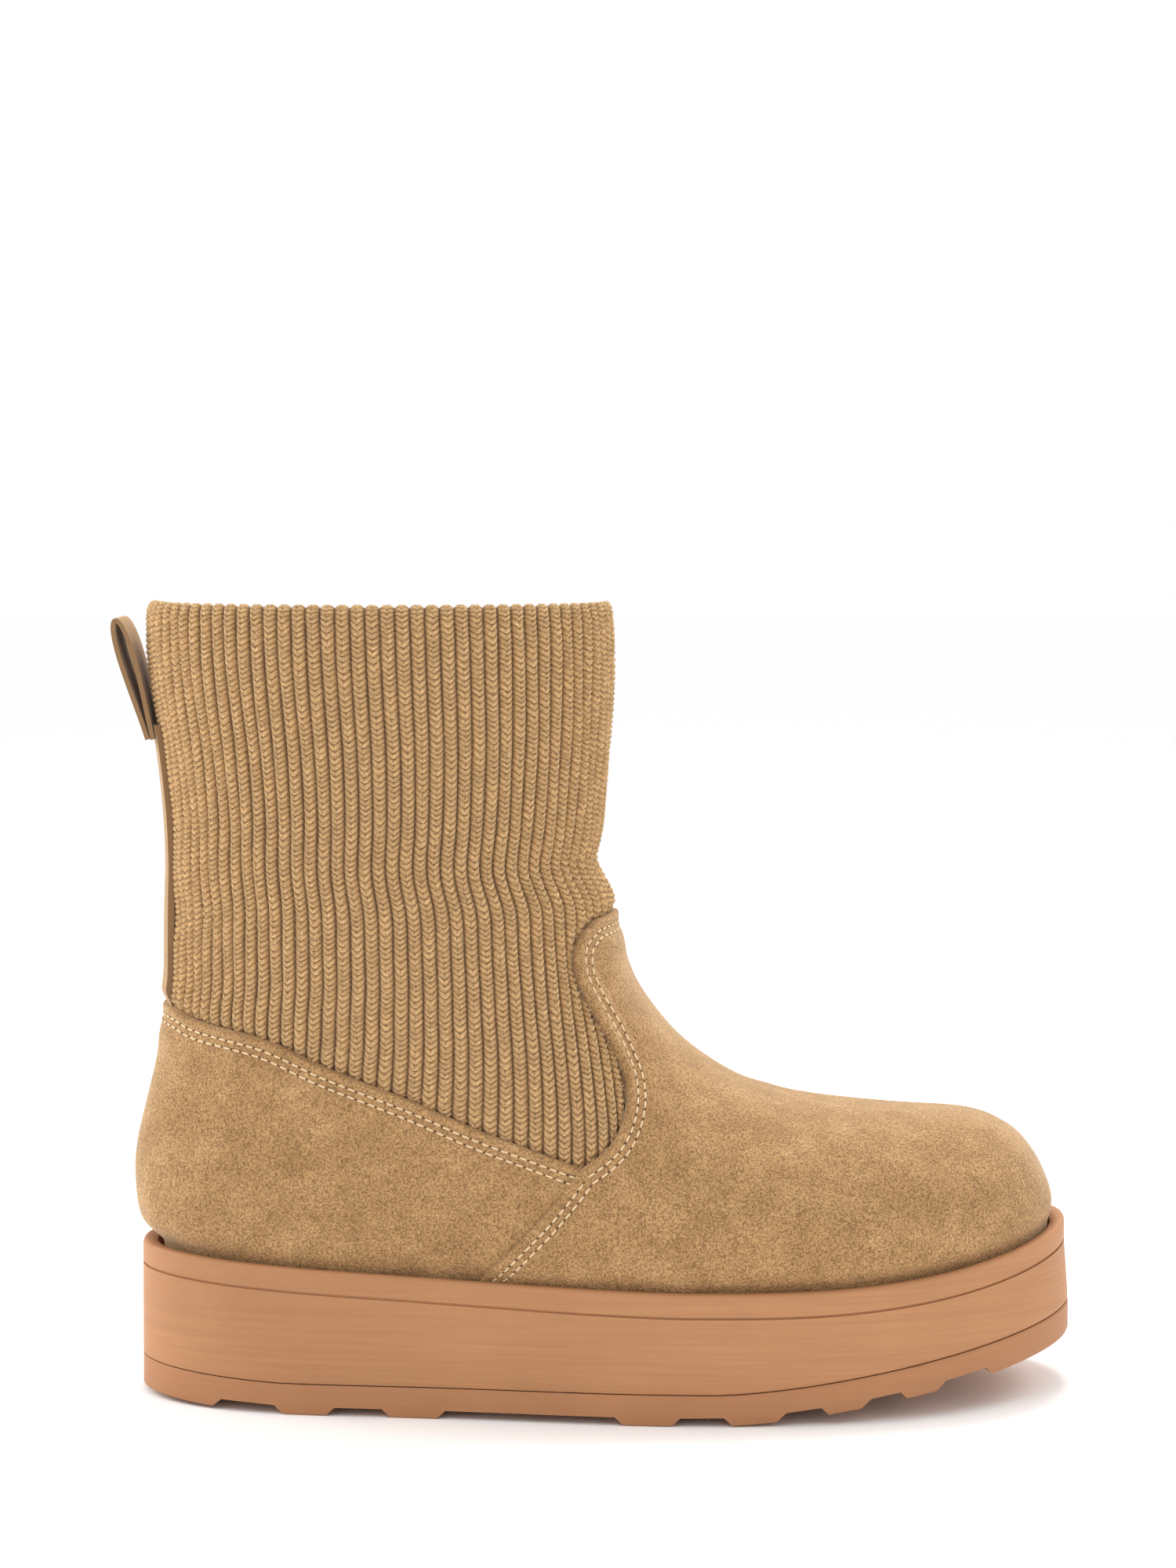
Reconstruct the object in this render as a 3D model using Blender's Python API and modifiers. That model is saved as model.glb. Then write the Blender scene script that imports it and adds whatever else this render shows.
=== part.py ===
"""Right sweater boot: ribbed knit shaft, suede foot and platform sole.

X runs from heel to toe, -Y is the outer side of the foot and Z is up, in metres.
The boot stands on its lugs, and the origin is on the floor under the middle of its box.
"""

import functools
import math

import bmesh
import bpy
from mathutils import Vector

# Sole
SOLE_LENGTH = 0.268
OUTER_BALL = 0.0508  # half width from the axis to the outer edge at the ball
INNER_BALL = 0.0470
OUTER_WAIST = 0.0080  # how far the arch pulls each side in
INNER_WAIST = 0.0095
TOE_SWING = 0.009  # how far the toe curves towards the other foot
HEEL_TOP = 0.0436  # heights of the sole's upper edge
BALL_TOP = 0.0365
TOE_TOP = 0.0486
TOE_SPRING = 0.0155
HEEL_BEVEL = 0.0022
OUTSOLE_THICKNESS = 0.0086
LUG_DEPTH = 0.0024
LUG_SLANT = 0.010  # how far each tread groove runs heelwards towards the middle
LUG_CHAMFER = 0.0026
SIDE_FLARE = 0.0012
RIM_WIDTH = 0.0042
RIM_ROUNDING = 0.0008
CUP_DEPTH = 0.0040
SIDE_GROOVE_DROP = 0.0062  # below the sole's upper edge
SIDE_GROOVE_DEPTH = 0.0006
SIDE_GROOVE_HEIGHT = 0.0007

# Upper
UPPER_HEIGHT = 0.184  # from the heel seat to the collar
SHAFT_WIDTH = 0.088
SUEDE_WALL = 0.0024
VAMP_STEP = 0.0008  # the vamp laps over the quarter by one more thickness of suede
KNIT_WALL = 0.0036
KNIT_SINK = 0.0003  # rib tops below the suede's surface
RIB_COUNT = 84
RIB_DEPTH = 0.0011
COLLAR_ROUNDING = 0.0014
COLLAR_DIP = 0.0042  # how much lower the collar lies on the inner side
RIB_FAN = 0.0055  # how far the front ribs run forwards below the throat
INSOLE_THICKNESS = 0.0040

# Strap and pull loop on the back
STRAP_WIDTH = 0.020
STRAP_THICKNESS = 0.0013
LOOP_HEIGHT = 0.0348
LOOP_THICKNESS = 0.0013
LOOP_GAP = 0.0048  # widest opening inside the loop
LOOP_LEAN = 0.0098  # how far the loop's top hangs out behind its root

CLEARANCE = 0.0003

# Where the arch, ball and toe lie, as shares of the sole's length
OUTER_WAIST_AT = 0.31
INNER_WAIST_AT = 0.39
WAIST_REACH = 0.15
OUTER_BALL_AT = 0.64
INNER_BALL_AT = 0.70
HEEL_ROUNDNESS = 2.4
TOE_ROUNDNESS = 2.25
SWING_START = 0.35
SWING_POWER = 1.6
HEEL_SLOPE_END = 0.58
HEEL_SLOPE_POWER = 1.3
TOE_RISE_START = 0.615
TOE_RISE_POWER = 2.8
SPRING_POWER = 1.4
BEVEL_END = 0.16
BEVEL_POWER = 1.3
VAMP_ROUNDNESS = 2.15
COLLAR_DIP_POWER = 1.2
LOOP_TAPER = 1.0
LOOP_FULLNESS = 1.1
LOOP_ROOT_AT = 0.785  # height of the loop's root, as a share of the upper's height

# Tread grooves at the outer edge, as shares of the sole's length: start, end
TREAD_GROOVES = (
    (0.100, 0.173),
    (0.216, 0.284),
    (0.330, 0.520),
    (0.567, 0.631),
    (0.676, 0.732),
    (0.766, 0.818),
    (0.850, 0.917),
)

# The upper's rings from the sole to the collar. Columns: back x and front x as shares of
# the sole's length; back and front rise above the sole's edge as shares of the upper's
# height; fullness of the foot outline; share of the oval shaft in the ring; half width of
# that oval as a share of half the shaft's width. Two more rings stand in the sole's cup.
RINGS = (
    (-0.0020, 0.0360, 0.9830, 0.0250, 0.945, 0.00, 0.86),
    (-0.0085, 0.1030, 0.9802, 0.0560, 0.962, 0.00, 0.86),
    (-0.0060, 0.1520, 0.9632, 0.1140, 0.957, 0.00, 0.86),
    (0.0008, 0.1980, 0.9370, 0.1615, 0.950, 0.02, 0.86),
    (0.0090, 0.2470, 0.8920, 0.1995, 0.943, 0.06, 0.86),
    (0.0158, 0.2910, 0.8060, 0.2255, 0.937, 0.12, 0.86),
    (0.0210, 0.3350, 0.7230, 0.2475, 0.930, 0.20, 0.87),
    (0.0230, 0.3740, 0.6560, 0.2745, 0.925, 0.31, 0.88),
    (0.0270, 0.4170, 0.6015, 0.3210, 0.920, 0.45, 0.89),
    (0.0276, 0.4610, 0.5600, 0.3760, 0.920, 0.62, 0.90),
    (0.0280, 0.5040, 0.5290, 0.4400, 0.920, 0.80, 0.91),
    (0.0287, 0.5480, 0.5140, 0.5110, 0.920, 0.94, 0.92),
    (0.0296, 0.5860, 0.5080, 0.5700, 0.920, 1.00, 0.93),
    (0.0292, 0.6240, 0.4950, 0.6290, 0.920, 1.00, 0.93),
    (0.0274, 0.6730, 0.4998, 0.6950, 0.920, 1.00, 0.94),
    (0.0238, 0.7280, 0.5042, 0.7660, 0.920, 1.00, 0.96),
    (0.0190, 0.7820, 0.5082, 0.8420, 0.920, 1.00, 0.98),
    (0.0105, 0.8520, 0.5105, 0.9180, 0.920, 1.00, 0.99),
    (0.0050, 0.9240, 0.5105, 0.9830, 0.920, 1.00, 1.00),
    (0.0045, 0.9950, 0.5075, 1.0360, 0.920, 1.00, 1.00),
)
VAMP_LAYER_START = 0.3  # the vamp's extra layer ends this far up from the wall's lowest ring
WIDEST_RING = 3  # this and the next count the rings in the cup
LAST_VAMP_RING = 13

# Seams seen from the side. Columns: x as a share of the sole's length, rise above the
# sole's edge as a share of the upper's height.
QUARTER_SEAM = (
    (-0.100, 0.372),
    (0.022, 0.371),
    (0.065, 0.357),
    (0.140, 0.341),
    (0.207, 0.306),
    (0.295, 0.265),
    (0.361, 0.230),
    (0.415, 0.206),
    (0.474, 0.180),
)
VAMP_SEAM = (
    (0.474, 0.180),
    (0.493, 0.200),
    (0.508, 0.222),
    (0.5185, 0.250),
    (0.5235, 0.281),
    (0.5225, 0.312),
    (0.5145, 0.345),
    (0.5035, 0.376),
    (0.4905, 0.407),
    (0.4790, 0.437),
    (0.4715, 0.465),
    (0.4695, 0.487),
    (0.4720, 0.510),
    (0.4815, 0.529),
    (0.5040, 0.545),
    (0.6000, 0.560),
)
LOWER_VAMP_SEAM = (
    (0.352, -0.040),
    (0.377, 0.012),
    (0.404, 0.055),
    (0.432, 0.100),
    (0.458, 0.147),
    (0.474, 0.180),
)

# Heights of the shaft's rows, as shares of the upper's height above the heel seat: close
# together where the knit folds over the ankle
SHAFT_ROWS = (0.125, 0.24, 0.35, 0.44, 0.505, 0.538, 0.589, 0.643, 0.745, 0.865, 0.992)

# Mesh density
OUTLINE_STEPS = 30  # columns on each side of the foot
SHAFT_INNER_STEPS = 22  # columns on each side of the shaft's smooth inner face
LOOP_STEPS = 36
SLICE_SAMPLES = 90
RIDGE_SAMPLES = 400
SEAM_SUBDIVISIONS = 2

SUEDE = ((0.50, 0.33, 0.16), 0.95)
KNIT = ((0.48, 0.31, 0.15), 0.98)
FOAM = ((0.60, 0.35, 0.18), 0.60)
RUBBER = ((0.55, 0.30, 0.15), 0.65)
LINING = ((0.62, 0.47, 0.30), 0.90)


def mix(a, b, share):
    return a + (b - a) * share


def spline(values, place):
    """Smooth curve through evenly placed values, read at a place between 0 and the last."""
    last = len(values) - 1
    place = min(max(place, 0.0), float(last))
    i = min(int(place), last - 1)
    f = place - i
    before, a, b, after = (values[min(max(i + k, 0), last)] for k in (-1, 0, 1, 2))
    slope_a, slope_b = (b - before) / 2, (after - a) / 2
    return (
        a * (1 + 2 * f) * (1 - f) ** 2
        + slope_a * f * (1 - f) ** 2
        + b * f * f * (3 - 2 * f)
        + slope_b * f * f * (f - 1)
    )


def sole_top(x):
    """Height of the sole's upper edge: it falls from the heel to the ball and lifts at the toe."""
    s = x / SOLE_LENGTH
    heel = max(0.0, 1 - max(s, 0.0) / HEEL_SLOPE_END) ** HEEL_SLOPE_POWER
    toe = max(0.0, (min(s, 1.0) - TOE_RISE_START) / (1 - TOE_RISE_START)) ** TOE_RISE_POWER
    return BALL_TOP + (HEEL_TOP - BALL_TOP) * heel + (TOE_TOP - BALL_TOP) * toe


def sole_bottom(x):
    """Height of the tread: flat from heel to ball, with a heel bevel and toe spring."""
    s = min(max(x / SOLE_LENGTH, 0.0), 1.0)
    bevel = max(0.0, 1 - s / BEVEL_END) ** BEVEL_POWER
    spring = max(0.0, (s - TOE_RISE_START) / (1 - TOE_RISE_START)) ** SPRING_POWER
    return HEEL_BEVEL * bevel + TOE_SPRING * spring


def parting(x):
    return sole_bottom(x) + OUTSOLE_THICKNESS


def axis_y(x):
    """The foot's curved centre line."""
    s = max(0.0, (x / SOLE_LENGTH - SWING_START) / (1 - SWING_START))
    return TOE_SWING * s**SWING_POWER


def half_width(share, side):
    """Half width of the sole's outline at a share of its length. Side -1 is the outer side."""
    ball, at, waist, waist_at = (
        (OUTER_BALL, OUTER_BALL_AT, OUTER_WAIST, OUTER_WAIST_AT)
        if side < 0
        else (INNER_BALL, INNER_BALL_AT, INNER_WAIST, INNER_WAIST_AT)
    )
    share = min(max(share, 0.0), 1.0)
    if share < at:
        reach, power = (at - share) / at, HEEL_ROUNDNESS
    else:
        reach, power = (share - at) / (1 - at), TOE_ROUNDNESS
    pull = waist * math.exp(-(((share - waist_at) / WAIST_REACH) ** 2) / 2)
    full = ball * max(0.0, 1 - reach**power) ** (1 / power)
    return max(0.0, full - pull * full / ball)


def ring_row(place):
    return [spline([row[k] for row in RINGS], place) for k in range(len(RINGS[0]))]


def seat_rings():
    """The upper's two lowest rings stand in the cup, clear of its wall and floor."""
    inset = RIM_WIDTH + 2 * CLEARANCE + VAMP_STEP
    share = inset / SOLE_LENGTH
    fullness, oval_half = 1 - inset / OUTER_BALL, RINGS[0][-1]
    rises = (CLEARANCE - CUP_DEPTH, CLEARANCE)
    return tuple(
        (share, rise / UPPER_HEIGHT, 1 - share, rise / UPPER_HEIGHT, fullness, 0.0, oval_half)
        for rise in rises
    )


RINGS = seat_rings() + RINGS


def widest_rise(x):
    """Rise of the ring where the foot is widest, at this x."""
    back_x, back_rise, front_x, front_rise = RINGS[WIDEST_RING][:4]
    share = (x / SOLE_LENGTH - back_x) / (front_x - back_x)
    return mix(back_rise, front_rise, share) * UPPER_HEIGHT


def ridge_line():
    """The top of the vamp from the toe to the instep, as (x, rise) pairs with x falling."""
    points = []
    for i in range(RIDGE_SAMPLES + 1):
        place = mix(WIDEST_RING, LAST_VAMP_RING, i / RIDGE_SAMPLES)
        row = ring_row(place)
        points.append((row[2] * SOLE_LENGTH, row[3] * UPPER_HEIGHT))
    return points


RIDGE = ridge_line()
SHIN_STEEPNESS = 4.5


def ridge_rise(x):
    """Rise of the vamp's ridge at x. Behind the instep it climbs steeply up the shin."""
    if x <= RIDGE[-1][0]:
        return RIDGE[-1][1] + SHIN_STEEPNESS * (RIDGE[-1][0] - x)
    low, high = 0, len(RIDGE) - 1
    while high - low > 1:
        middle = (low + high) // 2
        if RIDGE[middle][0] > x:
            low = middle
        else:
            high = middle
    (x0, r0), (x1, r1) = RIDGE[low], RIDGE[high]
    span = x0 - x1
    return mix(r1, r0, (x - x1) / span if span > 0 else 0.0)


def body_point(place, angle):
    """A point of the upper's outer surface.

    Place counts rings from the sole up. Angle 0 is the back, pi the front; the outer side
    is between them and the inner side beyond.
    """
    back_x, back_rise, front_x, front_rise, fullness, oval, oval_half = ring_row(place)
    t = (1 - math.cos(angle)) / 2
    side = -1 if math.sin(angle) > 0 else 1
    x = mix(back_x, front_x, t) * SOLE_LENGTH
    rise = mix(back_rise, front_rise, t) * UPPER_HEIGHT
    z = sole_top(x) + rise
    at_end = abs(math.sin(angle)) < 1e-6
    if at_end:
        return Vector((x, axis_y(x), z))
    toe_x = RINGS[WIDEST_RING][2] if place > WIDEST_RING else front_x
    outline = half_width((x / SOLE_LENGTH - back_x) / (toe_x - back_x), side) * fullness
    arch = 1.0
    if place > WIDEST_RING:
        low = widest_rise(x)
        up = (rise - low) / max(ridge_rise(x) - low, 1e-6)
        arch = max(0.0, 1 - min(max(up, 0.0), 1.0) ** VAMP_ROUNDNESS) ** (1 / VAMP_ROUNDNESS)
    foot = outline * arch
    shaft = oval_half * SHAFT_WIDTH / 2 * abs(math.sin(angle))
    return Vector((x, axis_y(x) + side * mix(foot, shaft, oval), z))


def outward_normals(rings):
    """Outward unit normals of a grid of closed rings that run round the boot."""
    normals = []
    for i, ring in enumerate(rings):
        above, below = rings[min(i + 1, len(rings) - 1)], rings[max(i - 1, 0)]
        row = []
        for j in range(len(ring)):
            along = ring[(j + 1) % len(ring)] - ring[j - 1]
            up = above[j] - below[j]
            row.append(along.cross(up).normalized())
        normals.append(row)
    return normals


def offset_rings(rings, normals, distance):
    return [
        [p + n * distance for p, n in zip(ring, normal)]
        for ring, normal in zip(rings, normals)
    ]


def new_object(name, bm, finish=None):
    bmesh.ops.recalc_face_normals(bm, faces=bm.faces)
    mesh = bpy.data.meshes.new(name)
    bm.to_mesh(mesh)
    bm.free()
    obj = bpy.data.objects.new(name, mesh)
    if finish:
        mesh.materials.append(material(name, *finish))
        PARTS.objects.link(obj)
        mesh.shade_smooth()
        mesh.set_sharp_from_angle(angle=math.radians(35))
    else:
        obj.display_type = "WIRE"
        obj.hide_render = True
        CUTTERS.objects.link(obj)
    return obj


def material(name, colour, roughness):
    made = bpy.data.materials.new(name)
    made.use_nodes = True
    shader = made.node_tree.nodes["Principled BSDF"]
    shader.inputs["Base Color"].default_value = (*colour, 1)
    shader.inputs["Roughness"].default_value = roughness
    return made


def bridge(bm, a, b):
    """Joins two rings with quads, or with triangles where their counts differ."""
    n, m = len(a), len(b)
    if n == m:
        for j in range(n):
            k = (j + 1) % n
            bm.faces.new((a[j], a[k], b[k], b[j]))
        return
    i = j = 0
    while i < n or j < m:
        if j == m or (i + 1) * m <= (j + 1) * n:
            bm.faces.new((a[i], a[(i + 1) % n], b[j % m]))
            i += 1
        else:
            bm.faces.new((a[i % n], b[(j + 1) % m], b[j]))
            j += 1


def loft(name, rings, finish=None, closed=False):
    """Bridges rings. Closed joins the last to the first, like a tyre; otherwise both ends
    are capped with strips from the outer side to the inner side."""
    bm = bmesh.new()
    rows = [[bm.verts.new(p) for p in ring] for ring in rings]
    n = len(rows[0])
    for a, b in zip(rows, rows[1:]):
        bridge(bm, a, b)
    if closed:
        bridge(bm, rows[-1], rows[0])
    else:
        for row in (rows[0], rows[-1]):
            for j in range(n // 2):
                corners = (row[j], row[j + 1], row[n - j - 1], row[-j])
                bm.faces.new(tuple(dict.fromkeys(corners)))
    return new_object(name, bm, finish)


def boolean(target, cutter, operation):
    modifier = target.modifiers.new(operation.title(), "BOOLEAN")
    modifier.object = cutter
    modifier.operation = operation
    modifier.solver = "EXACT"


def sole_ring(height, inset=0.0):
    """The sole's outline at a height that is a function of x, pulled in by an inset."""
    ring = []
    for j in range(2 * OUTLINE_STEPS):
        angle = math.pi * j / OUTLINE_STEPS
        share = (1 - math.cos(angle)) / 2
        side = -1 if j < OUTLINE_STEPS else 1
        x = mix(max(inset, 0.0), SOLE_LENGTH - inset, share)
        width = half_width(share, side) * (1 - inset / OUTER_BALL)
        width = 0.0 if j in (0, OUTLINE_STEPS) else width
        ring.append(Vector((x, axis_y(x) + side * width, height(x))))
    return ring


def make_outsole():
    rings = [
        sole_ring(sole_bottom, RIM_ROUNDING - SIDE_FLARE),
        sole_ring(lambda x: sole_bottom(x) + RIM_ROUNDING, -SIDE_FLARE),
        sole_ring(parting, -SIDE_FLARE),
    ]
    outsole = loft("outsole", rings, RUBBER)
    for i, (start, end) in enumerate(TREAD_GROOVES):
        boolean(outsole, tread_groove(f"tread_groove_{i}", start, end), "DIFFERENCE")
    return outsole


def tread_groove(name, start, end):
    """A chevron groove across the tread, with sloped sides and a roof that follows the sole."""
    bm = bmesh.new()
    below = TOE_SPRING  # how far the cutter reaches under the tread
    stations = ((-1.3 * OUTER_BALL, -0.3), (0.0, 1.0), (1.3 * INNER_BALL, -0.3))
    rows = []
    for y, slant in stations:
        row = []
        for share, way in ((start, -1), (end, 1)):
            x = share * SOLE_LENGTH - slant * LUG_SLANT
            roof_x = x - way * LUG_CHAMFER
            floor_x = x + way * LUG_CHAMFER * below / LUG_DEPTH
            y_here = axis_y(x) + y
            row.append(Vector((roof_x, y_here, sole_bottom(roof_x) + LUG_DEPTH)))
            row.append(Vector((floor_x, y_here, sole_bottom(x) - below)))
        rows.append([row[0], row[1], row[3], row[2]])
    verts = [[bm.verts.new(p) for p in row] for row in rows]
    for a, b in zip(verts, verts[1:]):
        for j in range(4):
            k = (j + 1) % 4
            bm.faces.new((a[j], a[k], b[k], b[j]))
    bm.faces.new(verts[0])
    bm.faces.new(verts[-1])
    return new_object(name, bm)


def make_midsole():
    def below_edge(drop):
        return lambda x: sole_top(x) - drop

    groove_top = SIDE_GROOVE_DROP
    groove_bottom = SIDE_GROOVE_DROP + SIDE_GROOVE_HEIGHT
    cup = RIM_WIDTH
    rings = [
        sole_ring(lambda x: parting(x) + CLEARANCE, -SIDE_FLARE),
        sole_ring(below_edge(groove_bottom), 0.0),
        sole_ring(below_edge((groove_top + groove_bottom) / 2), SIDE_GROOVE_DEPTH),
        sole_ring(below_edge(groove_top), 0.0),
        sole_ring(below_edge(RIM_ROUNDING), 0.0),
        sole_ring(below_edge(0.0), RIM_ROUNDING),
        sole_ring(below_edge(0.0), cup),
        sole_ring(below_edge(CUP_DEPTH), cup),
    ]
    return loft("midsole", rings, FOAM)


def make_insole():
    """The footbed lies in the cup, inside the upper's wall."""
    seat = foot_rings()[0]
    floor = CLEARANCE - CUP_DEPTH
    rings = [[], []]
    for j, p in enumerate(seat):
        along = seat[(j + 1) % len(seat)] - seat[j - 1]
        away = Vector((along.y, -along.x, 0)).normalized()
        edge = p - away * (SUEDE_WALL + 2 * CLEARANCE)
        for ring, height in zip(rings, (floor, floor + INSOLE_THICKNESS)):
            ring.append(Vector((edge.x, edge.y, sole_top(edge.x) + height)))
    return loft("insole", rings, LINING)


def foot_rings(first=0.0):
    """The upper's surface from the cup to just above the vamp's top edge."""
    places = [first] + [float(i) for i in range(1, LAST_VAMP_RING + 3)]
    angles = [math.pi * j / OUTLINE_STEPS for j in range(2 * OUTLINE_STEPS)]
    return [[body_point(place, angle) for angle in angles] for place in places]


def side_point(x_share, rise_share):
    x = x_share * SOLE_LENGTH
    return x, sole_top(x) + rise_share * UPPER_HEIGHT


def smooth_seam(table):
    """A seam's side view, read smoothly through the table's points."""
    last = len(table) - 1
    steps = round(last * SEAM_SUBDIVISIONS)
    points = []
    for i in range(steps + 1):
        place = last * i / steps
        points.append(side_point(*(spline([row[k] for row in table], place) for k in (0, 1))))
    return points


def shifted(points, distance):
    """An open line moved to its left by a distance."""
    moved = []
    for i, (x, z) in enumerate(points):
        (x0, z0), (x1, z1) = points[max(i - 1, 0)], points[min(i + 1, len(points) - 1)]
        run = math.hypot(x1 - x0, z1 - z0)
        moved.append((x - (z1 - z0) / run * distance, z + (x1 - x0) / run * distance))
    return moved


def side_prism(name, outline):
    """A wide block with this side view, used to cut the upper along a seam."""
    bm = bmesh.new()
    reach = SHAFT_WIDTH
    near = [bm.verts.new((x, -reach, z)) for x, z in outline]
    far = [bm.verts.new((x, reach, z)) for x, z in outline]
    for j in range(len(outline)):
        k = (j + 1) % len(outline)
        bm.faces.new((near[j], near[k], far[k], far[j]))
    bm.faces.new(near)
    bm.faces.new(far)
    bmesh.ops.triangulate(bm, faces=bm.faces)
    return new_object(name, bm)


def knit_outline(gap):
    """Side view of everything above the seams, moved up from them by a gap."""
    line = smooth_seam(QUARTER_SEAM)[:-1] + smooth_seam(VAMP_SEAM)
    line = shifted(line, gap)
    top = sole_top(0) + 1.3 * UPPER_HEIGHT
    return line + [(line[-1][0], top), (line[0][0], top)]


def vamp_outline():
    """Side view of all in front of the vamp's edge, with a margin where the knit is cut out."""
    line = smooth_seam(LOWER_VAMP_SEAM) + shifted(smooth_seam(VAMP_SEAM), SUEDE_WALL)
    ahead = 1.2 * SOLE_LENGTH
    return line + [(ahead, line[-1][1]), (ahead, line[0][1])]


def wall(name, rings, outside, inside, finish=None):
    """A closed wall between two offsets of the same rings."""
    normals = outward_normals(rings)
    outer = offset_rings(rings, normals, outside)
    inner = offset_rings(rings, normals, inside)
    return loft(name, outer + inner[::-1], finish, closed=True)


def make_upper():
    """Suede foot: quarter and vamp in one hollow wall, with the vamp a step proud."""
    upper = wall("upper", foot_rings(), 0.0, -SUEDE_WALL, SUEDE)
    overlay = wall("vamp_layer", foot_rings(VAMP_LAYER_START), VAMP_STEP, -SUEDE_WALL / 2)
    boolean(overlay, side_prism("vamp_side", vamp_outline()), "INTERSECT")
    boolean(upper, overlay, "UNION")
    boolean(upper, side_prism("knit_side", knit_outline(0.0)), "DIFFERENCE")
    return upper


@functools.lru_cache(maxsize=None)
def slice_at(z):
    """Angles and points of the level slice at height z, from the back round the outer side."""
    samples = []
    for j in range(SLICE_SAMPLES + 1):
        angle = math.pi * (j / SLICE_SAMPLES)
        low, high = 0.0, float(len(RINGS) - 1)
        for _ in range(22):
            middle = (low + high) / 2
            if body_point(middle, angle).z < z:
                low = middle
            else:
                high = middle
        samples.append((angle, body_point((low + high) / 2, angle)))
    return samples


def walked(samples):
    """Distances walked along a slice's points."""
    lengths = [0.0]
    for (_, a), (_, b) in zip(samples, samples[1:]):
        lengths.append(lengths[-1] + (b - a).length)
    return lengths


def read_at(samples, keys, key):
    """The slice's point where its keys, which grow, reach a key."""
    for i in range(len(keys) - 1):
        if keys[i + 1] >= key:
            share = (key - keys[i]) / max(keys[i + 1] - keys[i], 1e-9)
            return samples[i][1].lerp(samples[i + 1][1], min(max(share, 0.0), 1.0))
    return samples[-1][1].copy()


def mirrored(p):
    middle = axis_y(p.x)
    return Vector((p.x, 2 * middle - p.y, p.z))


def throat_z():
    """Height of the vamp's top edge at the front of the shaft."""
    return side_point(*VAMP_SEAM[-2])[1]


def shaft_ring(z, columns):
    """A level ring round the shaft, with this many columns on each side.

    Above the throat the ribs share the outline evenly. Below it they run down the sides
    of the foot with a slight fan, and the ring closes straight across under the vamp.
    """
    samples = slice_at(max(z, throat_z()))
    lengths = walked(samples)
    half = [read_at(samples, lengths, lengths[-1] * j / columns) for j in range(columns + 1)]
    half[0].y = axis_y(half[0].x)
    half[-1].y = axis_y(half[-1].x)
    if z < throat_z():
        lower = slice_at(z)
        keys = [p.x for _, p in lower]
        drop = min((throat_z() - z) / (throat_z() - side_point(*QUARTER_SEAM[-1])[1]), 1.0)
        for j in range(1, columns + 1):
            forwards = (j / columns) ** 3 * RIB_FAN * math.sin(drop * math.pi / 2)
            half[j] = read_at(lower, keys, half[j].x + forwards)
        half[0] = lower[0][1].copy()
    return half + [mirrored(p) for p in half[-1 if z < throat_z() else -2 : 0 : -1]]


def drawn_in(ring, distance):
    """The ring shrunk towards its middle by a distance at its sides and at its ends."""
    back, front = min(p.x for p in ring), max(p.x for p in ring)
    half = max(abs(p.y - axis_y(p.x)) for p in ring)
    middle, along = (back + front) / 2, 1 - 2 * distance / (front - back)
    shrunk = []
    for p in ring:
        x = mix(middle, p.x, along)
        y = axis_y(x) + (p.y - axis_y(p.x)) * (1 - distance / half)
        shrunk.append(Vector((x, y, p.z)))
    return shrunk


def dipped(ring):
    """The collar's ring, lower towards the inner side of the foot."""
    half = max(p.y - axis_y(p.x) for p in ring)
    lowered = []
    for p in ring:
        inwards = max(0.0, p.y - axis_y(p.x)) / half
        lowered.append(Vector((p.x, p.y, p.z - COLLAR_DIP * inwards**COLLAR_DIP_POWER)))
    return lowered


def ribbed(ring):
    crests, troughs = drawn_in(ring, KNIT_SINK), drawn_in(ring, KNIT_SINK + RIB_DEPTH)
    return [troughs[j] if j % 2 else crests[j] for j in range(len(ring))]


def shaft_levels():
    return [sole_top(0) + share * UPPER_HEIGHT for share in SHAFT_ROWS]


def make_shaft():
    """Ribbed knit tube, cut along the seams a clearance away from the suede."""
    levels = shaft_levels()
    outer = [ribbed(shaft_ring(z, RIB_COUNT)) for z in levels]
    inner = [drawn_in(shaft_ring(z, SHAFT_INNER_STEPS), KNIT_SINK + KNIT_WALL) for z in levels]
    lift = Vector((0, 0, COLLAR_ROUNDING))
    rim = [
        drawn_in(shaft_ring(levels[-1], RIB_COUNT), KNIT_SINK + KNIT_WALL * 0.4),
        drawn_in(shaft_ring(levels[-1], SHAFT_INNER_STEPS), KNIT_SINK + KNIT_WALL * 0.7),
    ]
    rim = [dipped([p + lift for p in ring]) for ring in rim]
    outer[-1], inner[-1] = dipped(outer[-1]), dipped(inner[-1])
    shaft = loft("shaft", outer + rim + inner[::-1], KNIT, closed=True)
    boolean(shaft, side_prism("shaft_side", knit_outline(CLEARANCE)), "INTERSECT")
    return shaft


def back_x(z, y):
    """How far back the shaft's slice at height z lies, at a distance y from its middle."""
    rear = slice_at(z)[: SLICE_SAMPLES // 2]
    return read_at(rear, [axis_y(p.x) - p.y for _, p in rear], abs(y)).x


def knit_back_x(z, y):
    """The same on the knit tube itself, which runs straight between its rows."""
    levels = shaft_levels()
    i = 0
    while i < len(levels) - 2 and levels[i + 1] < z:
        i += 1
    share = (z - levels[i]) / (levels[i + 1] - levels[i])
    return mix(back_x(levels[i], y), back_x(levels[i + 1], y), share) + KNIT_SINK


def strap_point(z, y, distance):
    """A point behind the shaft at a distance off its rib tops."""
    step = STRAP_WIDTH / 20
    slope = (knit_back_x(z, abs(y) + step) - knit_back_x(z, y)) / step
    away = Vector((-1, math.copysign(slope, y), 0)).normalized()
    x = knit_back_x(z, y)
    return Vector((x, axis_y(x) + y, z)) + away * distance


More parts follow.
